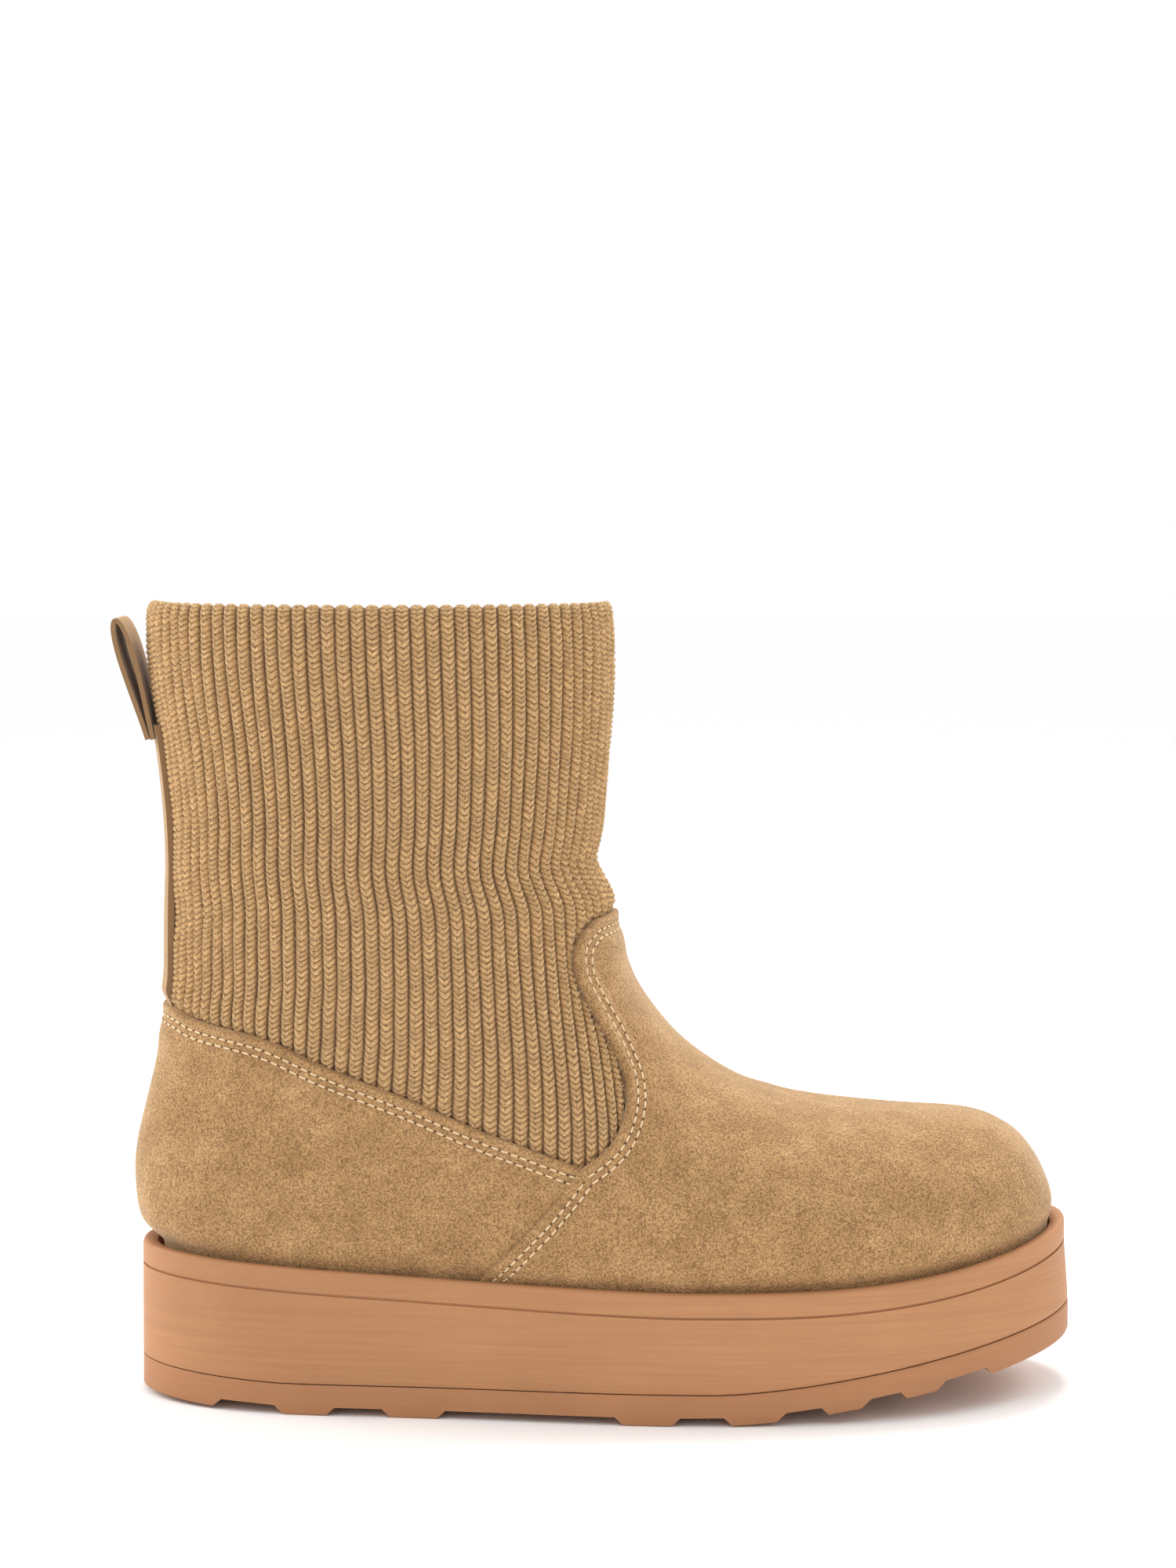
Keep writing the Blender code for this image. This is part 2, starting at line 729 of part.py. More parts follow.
def make_back_strap():
    """Suede tape down the back of the shaft, from the loop's root to the quarter."""
    low = side_point(*QUARTER_SEAM[1])[1] + 2 * CLEARANCE
    high = loop_root_z() - CLEARANCE
    rows, columns = 10, 4
    rings = []
    for i in range(rows + 1):
        z = mix(low, high, i / rows)
        across = [STRAP_WIDTH * (j / columns - 0.5) for j in range(columns + 1)]
        inside = [strap_point(z, y, CLEARANCE) for y in across]
        outside = [strap_point(z, y, CLEARANCE + STRAP_THICKNESS) for y in across]
        rings.append(inside + outside[::-1])
    return strap_solid("back_strap", rings, SUEDE)


def strap_solid(name, rings, finish):
    """Bridges flat rings and caps both ends across the strap's thickness."""
    bm = bmesh.new()
    rows = [[bm.verts.new(p) for p in ring] for ring in rings]
    n = len(rows[0])
    for a, b in zip(rows, rows[1:]):
        for j in range(n):
            k = (j + 1) % n
            bm.faces.new((a[j], a[k], b[k], b[j]))
    for row in (rows[0], rows[-1]):
        for j in range(n // 2 - 1):
            bm.faces.new((row[j], row[j + 1], row[n - j - 2], row[n - j - 1]))
    return new_object(name, bm, finish)


def loop_root_z():
    return sole_top(0) + LOOP_ROOT_AT * UPPER_HEIGHT


def loop_point(turn):
    """The middle of the tape in side view: a teardrop that leans back from its root.

    Turn runs from 0 at the foot beside the shaft, over the top, to 1 at the outer foot.
    """
    half = LOOP_THICKNESS / 2
    low = loop_root_z()
    feet_apart = (half + CLEARANCE / 2) * math.cos(math.pi * turn)
    middle = strap_point(low, 0.0, CLEARANCE).x - LOOP_THICKNESS - CLEARANCE / 2
    up = (1 - math.cos(2 * math.pi * turn)) / 2
    swell = LOOP_GAP / 2 * math.sin(2 * math.pi * turn) * up**LOOP_TAPER * LOOP_FULLNESS
    x = middle + feet_apart - LOOP_LEAN * up + swell
    return x, low + (LOOP_HEIGHT - half) * up


def make_pull_loop():
    """The tape's free end, folded over into a loop whose two feet are sewn down together."""
    bm = bmesh.new()
    rows = []
    for i in range(LOOP_STEPS + 1):
        x, z = loop_point(i / LOOP_STEPS)
        middle = axis_y(x)
        rows.append([bm.verts.new((x, middle + way * STRAP_WIDTH / 2, z)) for way in (-1, 1)])
    for a, b in zip(rows, rows[1:]):
        bm.faces.new((a[0], a[1], b[1], b[0]))
    loop = new_object("pull_loop", bm, SUEDE)
    tape = loop.modifiers.new("Tape", "SOLIDIFY")
    tape.thickness = LOOP_THICKNESS
    tape.offset = 0.0
    tape.use_even_offset = True
    return loop


def stand_on_origin(parts):
    """Moves the whole boot so that the middle of its box's floor is the origin."""
    bpy.context.view_layer.update()
    graph = bpy.context.evaluated_depsgraph_get()
    corners = [v.co.copy() for obj in parts for v in obj.evaluated_get(graph).data.vertices]
    low = Vector([min(c[k] for c in corners) for k in range(3)])
    high = Vector([max(c[k] for c in corners) for k in range(3)])
    boot = bpy.data.objects.new("boot", None)
    PARTS.objects.link(boot)
    boot.location = (-(low.x + high.x) / 2, -(low.y + high.y) / 2, -low.z)
    for obj in list(PARTS.objects) + list(CUTTERS.objects):
        if obj is not boot:
            obj.parent = boot


def clear_scene():
    for obj in list(bpy.data.objects):
        bpy.data.objects.remove(obj)


def new_collection(name):
    made = bpy.data.collections.new(name)
    bpy.context.scene.collection.children.link(made)
    return made


clear_scene()
PARTS = new_collection("sweater_boot")
CUTTERS = new_collection("cutters")


def main():
    parts = [
        make_outsole(),
        make_midsole(),
        make_insole(),
        make_upper(),
        make_shaft(),
        make_back_strap(),
        make_pull_loop(),
    ]
    stand_on_origin(parts)


main()
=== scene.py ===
"""Looks of the right sweater boot: suede foot, rib knit shaft, tape and platform sole.

The shapes are worked out in the boot's own sizes, with X=0 at the back of the sole, Y=0 on
the foot's axis at the heel and Z up, and are moved into the row frame when a mesh is made.
"""

import math

import bmesh
import bpy
import numpy as np
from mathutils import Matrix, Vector


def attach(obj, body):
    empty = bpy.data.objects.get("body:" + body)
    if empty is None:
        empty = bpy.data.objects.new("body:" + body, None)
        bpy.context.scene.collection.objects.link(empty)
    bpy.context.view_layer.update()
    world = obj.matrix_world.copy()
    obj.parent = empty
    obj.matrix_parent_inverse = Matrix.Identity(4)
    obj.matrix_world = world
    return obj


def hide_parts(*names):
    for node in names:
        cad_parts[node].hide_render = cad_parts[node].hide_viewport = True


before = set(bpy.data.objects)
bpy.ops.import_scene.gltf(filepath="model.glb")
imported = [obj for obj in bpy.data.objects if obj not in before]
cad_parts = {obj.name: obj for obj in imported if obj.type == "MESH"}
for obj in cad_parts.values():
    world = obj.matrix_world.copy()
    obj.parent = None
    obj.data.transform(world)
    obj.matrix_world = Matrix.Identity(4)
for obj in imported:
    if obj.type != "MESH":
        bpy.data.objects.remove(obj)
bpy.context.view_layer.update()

ORIGIN = np.array((0.130661, 0.001319, 0.0))

# Sizes shared with the CAD source
SOLE_LENGTH = 0.268
OUTER_BALL = 0.0508
INNER_BALL = 0.0470
OUTER_WAIST = 0.0080
INNER_WAIST = 0.0095
TOE_SWING = 0.009
HEEL_TOP = 0.0436
BALL_TOP = 0.0365
TOE_TOP = 0.0486
TOE_SPRING = 0.0155
HEEL_BEVEL = 0.0022
OUTSOLE_THICKNESS = 0.0086
LUG_DEPTH = 0.0024
LUG_SLANT = 0.010
LUG_CHAMFER = 0.0026
SIDE_FLARE = 0.0012
RIM_WIDTH = 0.0042
CUP_DEPTH = 0.0040
SIDE_GROOVE_DROP = 0.0062
SIDE_GROOVE_DEPTH = 0.0006
SIDE_GROOVE_HEIGHT = 0.0007
UPPER_HEIGHT = 0.184
SHAFT_WIDTH = 0.088
SUEDE_WALL = 0.0024
VAMP_STEP = 0.0008
KNIT_WALL = 0.0036
KNIT_SINK = 0.0003
RIBS_PER_SIDE = 42
COLLAR_DIP = 0.0042
RIB_FAN = 0.0100
STRAP_WIDTH = 0.020
STRAP_THICKNESS = 0.0013
LOOP_HEIGHT = 0.0348
LOOP_THICKNESS = 0.0013
LOOP_GAP = 0.0048
LOOP_LEAN = 0.0098
CLEARANCE = 0.0003
OUTER_WAIST_AT = 0.31
INNER_WAIST_AT = 0.39
WAIST_REACH = 0.15
OUTER_BALL_AT = 0.64
INNER_BALL_AT = 0.70
HEEL_ROUNDNESS = 2.4
TOE_ROUNDNESS = 2.25
SWING_START = 0.35
SWING_POWER = 1.6
HEEL_SLOPE_END = 0.58
HEEL_SLOPE_POWER = 1.3
TOE_RISE_START = 0.615
TOE_RISE_POWER = 2.8
SPRING_POWER = 1.4
BEVEL_END = 0.16
BEVEL_POWER = 1.3
VAMP_ROUNDNESS = 2.15
COLLAR_DIP_POWER = 1.2
LOOP_TAPER = 1.0
LOOP_FULLNESS = 1.1
LOOP_ROOT_AT = 0.785
SHIN_STEEPNESS = 4.5
COLLAR_AT = 0.992
TREAD_GROOVES = (
    (0.100, 0.173),
    (0.216, 0.284),
    (0.330, 0.520),
    (0.567, 0.631),
    (0.676, 0.732),
    (0.766, 0.818),
    (0.850, 0.917),
)

# Rings of the upper: back x and front x as shares of the sole's length, back and front rise
# as shares of the upper's height, fullness, share of the oval shaft, half width of the oval
RINGS = (
    (-0.0020, 0.0360, 0.9830, 0.0250, 0.945, 0.00, 0.86),
    (-0.0085, 0.1030, 0.9802, 0.0560, 0.962, 0.00, 0.86),
    (-0.0060, 0.1520, 0.9632, 0.1140, 0.957, 0.00, 0.86),
    (0.0008, 0.1980, 0.9370, 0.1615, 0.950, 0.02, 0.86),
    (0.0090, 0.2470, 0.8920, 0.1995, 0.943, 0.06, 0.86),
    (0.0158, 0.2910, 0.8060, 0.2255, 0.937, 0.12, 0.86),
    (0.0210, 0.3350, 0.7230, 0.2475, 0.930, 0.20, 0.87),
    (0.0230, 0.3740, 0.6560, 0.2745, 0.925, 0.31, 0.88),
    (0.0270, 0.4170, 0.6015, 0.3210, 0.920, 0.45, 0.89),
    (0.0276, 0.4610, 0.5600, 0.3760, 0.920, 0.62, 0.90),
    (0.0280, 0.5040, 0.5290, 0.4400, 0.920, 0.80, 0.91),
    (0.0287, 0.5480, 0.5140, 0.5110, 0.920, 0.94, 0.92),
    (0.0296, 0.5860, 0.5080, 0.5700, 0.920, 1.00, 0.93),
    (0.0292, 0.6240, 0.4950, 0.6290, 0.920, 1.00, 0.93),
    (0.0274, 0.6730, 0.4998, 0.6950, 0.920, 1.00, 0.94),
    (0.0238, 0.7280, 0.5042, 0.7660, 0.920, 1.00, 0.96),
    (0.0190, 0.7820, 0.5082, 0.8420, 0.920, 1.00, 0.98),
    (0.0105, 0.8520, 0.5105, 0.9180, 0.920, 1.00, 0.99),
    (0.0050, 0.9240, 0.5105, 0.9830, 0.920, 1.00, 1.00),
    (0.0045, 0.9950, 0.5075, 1.0360, 0.920, 1.00, 1.00),
)
WIDEST_RING = 3
LAST_VAMP_RING = 13

# Seams seen from the side: x as a share of the sole's length, rise above the sole's edge as
# a share of the upper's height
QUARTER_SEAM = (
    (-0.100, 0.372),
    (0.022, 0.371),
    (0.065, 0.357),
    (0.140, 0.341),
    (0.207, 0.306),
    (0.295, 0.265),
    (0.361, 0.230),
    (0.415, 0.206),
    (0.474, 0.180),
)
VAMP_SEAM = (
    (0.474, 0.180),
    (0.493, 0.200),
    (0.508, 0.222),
    (0.5185, 0.250),
    (0.5235, 0.281),
    (0.5225, 0.312),
    (0.5145, 0.345),
    (0.5035, 0.376),
    (0.4905, 0.407),
    (0.4790, 0.437),
    (0.4715, 0.465),
    (0.4695, 0.487),
    (0.4720, 0.510),
    (0.4815, 0.529),
    (0.5040, 0.545),
    (0.6000, 0.560),
)
LOWER_VAMP_SEAM = (
    (0.352, -0.040),
    (0.377, 0.012),
    (0.404, 0.055),
    (0.432, 0.100),
    (0.458, 0.147),
    (0.474, 0.180),
)

# Mesh density
SEAM_SAMPLES = 1600
SEAM_STEP = 0.00045
VAMP_COLUMNS = 560
VAMP_ROWS = 200
QUARTER_COLUMNS = 440
QUARTER_ROWS = 110
KNIT_SAMPLES = 12
KNIT_ROW = 0.00048
FAR_SAMPLES = 10
FAR_ROW = 0.0006
SOLE_COLUMNS = 180
SLICE_SAMPLES = 120

rng = np.random.default_rng(7)


def mix(a, b, share):
    return a + (b - a) * share


def smooth(share):
    share = np.clip(share, 0.0, 1.0)
    return share * share * (3 - 2 * share)


def hill(distance, width):
    """A soft bump that is 1 at distance 0 and falls to almost nothing past twice the width."""
    return np.exp(-((distance / width) ** 2))


def walked(points):
    """Walking length up to each point of a path."""
    run = np.linalg.norm(np.diff(points, axis=0), axis=1)
    return np.concatenate([[0.0], np.cumsum(run)])


def read_path(keys, length, values):
    """Points or directions along a path, read at these walking lengths."""
    return np.stack([np.interp(keys, length, values[:, k]) for k in range(3)], -1)


def spline(table, place):
    """Smooth curve through evenly placed rows of a table, read at an array of places."""
    table = np.asarray(table, float)
    last = len(table) - 1
    place = np.clip(place, 0.0, float(last))
    i = np.minimum(place.astype(int), last - 1)
    f = (place - i)[..., None]
    before = table[np.maximum(i - 1, 0)]
    a = table[i]
    b = table[i + 1]
    after = table[np.minimum(i + 2, last)]
    slope_a = (b - before) / 2
    slope_b = (after - a) / 2
    rising = slope_a * f * (1 - f) ** 2 + slope_b * f * f * (f - 1)
    return a * (1 + 2 * f) * (1 - f) ** 2 + b * f * f * (3 - 2 * f) + rising


def sole_top(x):
    s = np.asarray(x) / SOLE_LENGTH
    heel = np.maximum(0.0, 1 - np.maximum(s, 0.0) / HEEL_SLOPE_END) ** HEEL_SLOPE_POWER
    toe = np.maximum(0.0, (np.minimum(s, 1.0) - TOE_RISE_START) / (1 - TOE_RISE_START))
    return BALL_TOP + (HEEL_TOP - BALL_TOP) * heel + (TOE_TOP - BALL_TOP) * toe**TOE_RISE_POWER


def sole_bottom(x):
    s = np.clip(np.asarray(x) / SOLE_LENGTH, 0.0, 1.0)
    bevel = np.maximum(0.0, 1 - s / BEVEL_END) ** BEVEL_POWER
    spring = np.maximum(0.0, (s - TOE_RISE_START) / (1 - TOE_RISE_START)) ** SPRING_POWER
    return HEEL_BEVEL * bevel + TOE_SPRING * spring


def parting(x):
    return sole_bottom(x) + OUTSOLE_THICKNESS


def axis_y(x):
    s = np.maximum(0.0, (np.asarray(x) / SOLE_LENGTH - SWING_START) / (1 - SWING_START))
    return TOE_SWING * s**SWING_POWER


def one_half_width(share, ball, at, waist, waist_at):
    share = np.clip(share, 0.0, 1.0)
    behind = np.clip((at - share) / at, 0.0, 1.0)
    ahead = np.clip((share - at) / (1 - at), 0.0, 1.0)
    heel = np.maximum(0.0, 1 - behind**HEEL_ROUNDNESS) ** (1 / HEEL_ROUNDNESS)
    toe = np.maximum(0.0, 1 - ahead**TOE_ROUNDNESS) ** (1 / TOE_ROUNDNESS)
    full = ball * np.where(share < at, heel, toe)
    pull = waist * np.exp(-(((share - waist_at) / WAIST_REACH) ** 2) / 2)
    return np.maximum(0.0, full - pull * full / ball)


def half_width(share, outer):
    """Half width of the sole's outline at a share of its length, on the outer or inner side."""
    outside = one_half_width(share, OUTER_BALL, OUTER_BALL_AT, OUTER_WAIST, OUTER_WAIST_AT)
    inside = one_half_width(share, INNER_BALL, INNER_BALL_AT, INNER_WAIST, INNER_WAIST_AT)
    return np.where(outer, outside, inside)


def seat_rings():
    inset = RIM_WIDTH + 2 * CLEARANCE + VAMP_STEP
    share = inset / SOLE_LENGTH
    full = 1 - inset / OUTER_BALL
    rises = (CLEARANCE - CUP_DEPTH, CLEARANCE)
    heights = [rise / UPPER_HEIGHT for rise in rises]
    return tuple((share, h, 1 - share, h, full, 0.0, RINGS[0][-1]) for h in heights)


RING_TABLE = np.array(seat_rings() + RINGS)


def ridge_line():
    places = np.linspace(WIDEST_RING, LAST_VAMP_RING, 401)
    rows = spline(RING_TABLE, places)
    return rows[::-1, 2] * SOLE_LENGTH, rows[::-1, 3] * UPPER_HEIGHT


RIDGE_X, RIDGE_RISE = ridge_line()


def ridge_rise(x):
    shin = RIDGE_RISE[0] + SHIN_STEEPNESS * (RIDGE_X[0] - x)
    return np.where(x <= RIDGE_X[0], shin, np.interp(x, RIDGE_X, RIDGE_RISE))


def widest_rise(x):
    back_x, back_rise, front_x, front_rise = RING_TABLE[WIDEST_RING][:4]
    share = (x / SOLE_LENGTH - back_x) / (front_x - back_x)
    return mix(back_rise, front_rise, share) * UPPER_HEIGHT


def body(place, angle):
    """Points of the upper's outer surface. Angle 0 is the back, pi the front, outer side between."""
    place, angle = np.broadcast_arrays(np.asarray(place, float), np.asarray(angle, float))
    row = spline(RING_TABLE, place)
    back_x, back_rise, front_x, front_rise, full, oval, oval_half = np.moveaxis(row, -1, 0)
    t = (1 - np.cos(angle)) / 2
    outer = np.sin(angle) > 0
    x = mix(back_x, front_x, t) * SOLE_LENGTH
    rise = mix(back_rise, front_rise, t) * UPPER_HEIGHT
    high = place > WIDEST_RING
    toe_x = np.where(high, RING_TABLE[WIDEST_RING][2], front_x)
    outline = half_width((x / SOLE_LENGTH - back_x) / (toe_x - back_x), outer) * full
    low = widest_rise(x)
    up = np.clip((rise - low) / np.maximum(ridge_rise(x) - low, 1e-6), 0.0, 1.0)
    arch = np.maximum(0.0, 1 - up**VAMP_ROUNDNESS) ** (1 / VAMP_ROUNDNESS)
    foot = outline * np.where(high, arch, 1.0)
    shaft = oval_half * SHAFT_WIDTH / 2 * np.abs(np.sin(angle))
    wide = mix(foot, shaft, oval)
    wide = np.where(np.abs(np.sin(angle)) < 1e-6, 0.0, wide)
    y = axis_y(x) + np.where(outer, -1, 1) * wide
    return np.stack([x, y, sole_top(x) + rise], -1)


def unit(v):
    return v / np.maximum(np.linalg.norm(v, axis=-1, keepdims=True), 1e-12)


def grid_normals(points, closed):
    """Outward normals of a grid of points whose rows go up and whose columns run round from
    the back over the outer side."""
    if closed:
        along = np.roll(points, -1, 1) - np.roll(points, 1, 1)
    else:
        along = np.gradient(points, axis=1)
    up = np.gradient(points, axis=0)
    return unit(np.cross(along, up))


def body_normal(place, angle):
    step = 0.02
    up = body(place + step, angle) - body(place - step, angle)
    along = body(place, angle + step) - body(place, angle - step)
    return unit(np.cross(along, up))


def place_of(x, z):
    """Place and angle of the outer side's surface point with this side view, and whether x
    lies ahead of the surface there."""
    low = np.zeros_like(x)
    high = np.full_like(x, float(len(RING_TABLE) - 1))
    for _ in range(26):
        middle = (low + high) / 2
        row = spline(RING_TABLE, middle)
        t = (x / SOLE_LENGTH - row[..., 0]) / (row[..., 2] - row[..., 0])
        rise = mix(row[..., 1], row[..., 3], np.clip(t, 0, 1)) * UPPER_HEIGHT
        below = sole_top(x) + rise < z
        low = np.where(below, middle, low)
        high = np.where(below, high, middle)
    angle = np.arccos(np.clip(1 - 2 * t, -1, 1))
    return middle, angle, t


def seam_line(table):
    """Fine side view of a seam."""
    last = len(table) - 1
    line = spline(table, np.linspace(0, last, SEAM_SAMPLES))
    x = line[:, 0] * SOLE_LENGTH
    return np.stack([x, sole_top(x) + line[:, 1] * UPPER_HEIGHT], -1)


def inside_outline(points, outline):
    """Which side-view points lie inside a closed outline."""
    x, z = points[..., 0], points[..., 1]
    inside = np.zeros(x.shape, bool)
    ends = np.roll(outline, -1, 0)
    for (x0, z0), (x1, z1) in zip(outline, ends):
        if z0 == z1:
            continue
        crosses = (z0 > z) != (z1 > z)
        inside ^= crosses & (x < x0 + (z - z0) * (x1 - x0) / (z1 - z0))
    return inside


def line_distance(points, line):
    """Distance of side-view points to a line."""
    line = line[:: max(1, len(line) // 160)]
    a, b = line[:-1], line[1:]
    run = b - a
    length = np.maximum((run**2).sum(1), 1e-14)
    flat = points.reshape(-1, 2)
    out = np.empty(len(flat))
    for i in range(0, len(flat), 20000):
        p = flat[i : i + 20000, None] - a
        share = np.clip((p * run).sum(2) / length, 0, 1)
        gap = p - share[..., None] * run
        out[i : i + 20000] = np.sqrt((gap**2).sum(2).min(1))
    return out.reshape(points.shape[:-1])


QUARTER_LINE = seam_line(QUARTER_SEAM)
VAMP_LINE = seam_line(VAMP_SEAM)
LOWER_LINE = seam_line(LOWER_VAMP_SEAM)
FAR_AHEAD = 1.2 * SOLE_LENGTH
FAR_UP = 0.3
KNIT_OUTLINE = np.concatenate(
    [QUARTER_LINE[::12], VAMP_LINE[::12], [[VAMP_LINE[-1, 0], FAR_UP], [-0.1, FAR_UP]]]
)
VAMP_OUTLINE = np.concatenate(
    [
        LOWER_LINE[::12],
        VAMP_LINE[::12],
        [[FAR_AHEAD, VAMP_LINE[-1, 1]], [FAR_AHEAD, LOWER_LINE[0, 1] - 0.03]],
        [[LOWER_LINE[0, 0], LOWER_LINE[0, 1] - 0.03]],
    ]
)
KNIT_EDGE = np.concatenate([QUARTER_LINE, VAMP_LINE])
VAMP_EDGE = np.concatenate([LOWER_LINE, VAMP_LINE])


def signed(points, outline, line):
    """Distance to a seam, above zero inside the outline."""
    side = points[..., [0, 2]]
    gap = line_distance(side, line)
    return np.where(inside_outline(side, outline), gap, -gap)


def make_object(name, verts, faces, body_name="root"):
    """A mesh piece in the row frame that rides on a body."""
    mesh = bpy.data.meshes.new(name)
    moved = np.asarray(verts, float) - ORIGIN
    mesh.from_pydata(moved.tolist(), [], [list(map(int, f)) for f in faces])
    mesh.validate()
    mesh.shade_smooth()
    obj = bpy.data.objects.new(name, mesh)
    bpy.context.scene.collection.objects.link(obj)
    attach(obj, body_name)
    return obj


def grid_faces(rows, columns, closed):
    """Quads of a grid as index rows, counted row by row."""
    last = columns if closed else columns - 1
    i, j = np.meshgrid(np.arange(rows - 1), np.arange(last), indexing="ij")
    k = (j + 1) % columns
    quads = [i * columns + j, i * columns + k, (i + 1) * columns + k, (i + 1) * columns + j]
    return np.stack(quads, -1).reshape(-1, 4)


def compact(verts, faces):
    """Leaves out the vertices that no face uses."""
    used = np.unique(np.concatenate([np.asarray(f).ravel() for f in faces]))
    where = np.full(len(verts), -1)
    where[used] = np.arange(len(used))
    return np.asarray(verts)[used], [where[np.asarray(f)] for f in faces], used


def clipped(points, keep, closed=False):
    """A sheet from a grid, cut off smoothly where keep falls through zero."""
    rows, columns = keep.shape
    verts = points.reshape(-1, 3)
    level = keep.ravel()
    quads = grid_faces(rows, columns, closed)
    above = (level[quads] >= 0).sum(1)
    faces = quads[above == 4].tolist()
    extra = []
    made = {}

    def crossing(a, b):
        key = (min(a, b), max(a, b))
        if key not in made:
            share = level[a] / (level[a] - level[b])
            made[key] = len(verts) + len(extra)
            extra.append(verts[a] + (verts[b] - verts[a]) * share)
        return made[key]

    for quad in quads[(above > 0) & (above < 4)].tolist():
        cut = []
        for a, b in zip(quad, quad[1:] + quad[:1]):
            if level[a] >= 0:
                cut.append(a)
            if (level[a] >= 0) != (level[b] >= 0):
                cut.append(crossing(a, b))
        if len(cut) >= 3:
            faces.append(cut)
    if extra:
        verts = np.concatenate([verts, np.array(extra)])
    verts, faces, _ = compact(verts, faces)
    return verts, faces


def even_places(angle, first, last, count):
    """Places between two rings, an even distance apart along one column."""
    places = np.linspace(first, last, 800)
    length = walked(body(places, angle))
    return np.interp(np.linspace(0, length[-1], count), length, places)


def even_angles(place, first, last, count):
    """Angles round one ring, an even distance apart."""
    angles = np.linspace(first, last, 1600)
    length = walked(body(place, angles))
    return np.interp(np.linspace(0, length[-1], count), length, angles)


# Soft troughs and ridges in the suede: x share, rise share, length across,
# width, direction in degrees in the side view, and height in metres (below zero a trough)
CREASES = (
    (0.620, 0.215, 0.020, 0.0042, 118, -0.0007),
    (0.680, 0.180, 0.022, 0.0050, 112, 0.0005),
    (0.560, 0.250, 0.016, 0.0036, 125, 0.0005),
    (0.740, 0.135, 0.024, 0.0060, 100, -0.0004),
    (0.545, 0.110, 0.018, 0.0046, 70, -0.0006),
    (0.600, 0.075, 0.020, 0.0050, 60, 0.0004),
    (0.330, 0.120, 0.020, 0.0050, 40, -0.0006),
    (0.240, 0.170, 0.018, 0.0046, 25, 0.0005),
    (0.130, 0.220, 0.016, 0.0044, 170, -0.0006),
    (0.080, 0.140, 0.016, 0.0050, 10, 0.0005),
    (0.180, 0.080, 0.024, 0.0050, 165, -0.0005),
    (0.400, 0.060, 0.014, 0.0040, 60, 0.0004),
)


def creases(points):
    """How far the suede swells or sinks at these points."""
    total = np.zeros(points.shape[:-1])
    for x_share, rise_share, reach, width, turn, height in CREASES:
        x = x_share * SOLE_LENGTH
        z = float(sole_top(x)) + rise_share * UPPER_HEIGHT
        dx = points[..., 0] - x
        dz = points[..., 2] - z
        c, s = math.cos(math.radians(turn)), math.sin(math.radians(turn))
        along = dx * c + dz * s
        across = -dx * s + dz * c + 18 * along**2 * np.sign(height)
        total += height * hill(along, reach) * hill(across, width)
    return total


STITCH_ROWS = (0.0026, 0.0047)
SEWN_PITCHES = (0.0029, 0.0030)
THREAD_RADIUS = 0.00030
HOLE_LENGTH = 0.0010
HOLE_RADIUS = 0.00038


def stitched_relief(distance):
    """Height of the suede over its distance from a seam: swollen past the stitch rows."""
    puff = 0.00055 * hill(distance - 0.0085, 0.0042)
    pressed = sum(-0.00035 * hill(distance - row, 0.0007) for row in STITCH_ROWS)
    return puff + pressed


def vamp_sheet():
    angles = even_angles(5.0, math.radians(62), math.radians(298), VAMP_COLUMNS)
    places = even_places(math.pi * 0.93, 0.25, LAST_VAMP_RING + 2.0, VAMP_ROWS)
    points = body(places[:, None], angles[None, :])
    normals = grid_normals(points, False)
    keep = signed(points, VAMP_OUTLINE, VAMP_EDGE)
    relief = VAMP_STEP + stitched_relief(keep) + creases(points)
    relief = relief - 0.0006 * (1 - smooth((places[:, None] - 0.25) / 0.5))
    return clipped(points + normals * relief[..., None], keep)


def quarter_sheet():
    angles = even_angles(5.0, math.radians(-128), math.radians(128), QUARTER_COLUMNS)
    places = even_places(math.radians(60), 0.25, 13.0, QUARTER_ROWS)
    points = body(places[:, None], angles[None, :])
    normals = grid_normals(points, False)
    knit = -signed(points, KNIT_OUTLINE, KNIT_EDGE)
    ahead = 0.004 - signed(points, VAMP_OUTLINE, VAMP_EDGE)
    relief = stitched_relief(knit) + creases(points)
    relief = relief - 0.0005 * hill(ahead - 0.004, 0.0025)
    return clipped(points + normals * relief[..., None], np.minimum(knit, ahead))


def lining_sheet(columns, rows):
    """The inner face of the suede, seen only through the collar."""
    angles = np.linspace(0, 2 * math.pi, columns, endpoint=False)
    places = np.linspace(0.1, LAST_VAMP_RING + 2.0, rows)
    points = body(places[:, None], angles[None, :])
    normals = grid_normals(points, True)
    keep = -signed(points, KNIT_OUTLINE, KNIT_EDGE) - 0.0004
    return clipped(points - normals * SUEDE_WALL, keep, True)


def surface_path(line, over_front):
    """A seam's path on the boot's outer side with its normals. Over the front it goes on to
    the middle of the vamp."""
    place, angle, t = place_of(line[:, 0], line[:, 1])
    good = (t > 0.0) & (t < 0.9999)
    place, angle = place[good], angle[good]
    points = body(place, angle)
    normals = body_normal(place, angle)
    if over_front:
        middle = points[-1].copy()
        middle[1] = axis_y(middle[0])
        points = np.concatenate([points, [middle]])
        front = normals[-1].copy()
        front[1] = 0.0
        normals = np.concatenate([normals, unit(front)[None]])
    return points, normals


def far_side(points, normals):
    """The same path on the inner side, by way of the body's own outline there."""
    place, angle, _ = place_of(points[:, 0], points[:, 2])
    return body(place, -angle), body_normal(place, -angle)


def resampled(points, normals, step):
    length = walked(points)
    keys = np.linspace(0, length[-1], max(3, int(length[-1] / step)))
    return read_path(keys, length, points), unit(read_path(keys, length, normals))


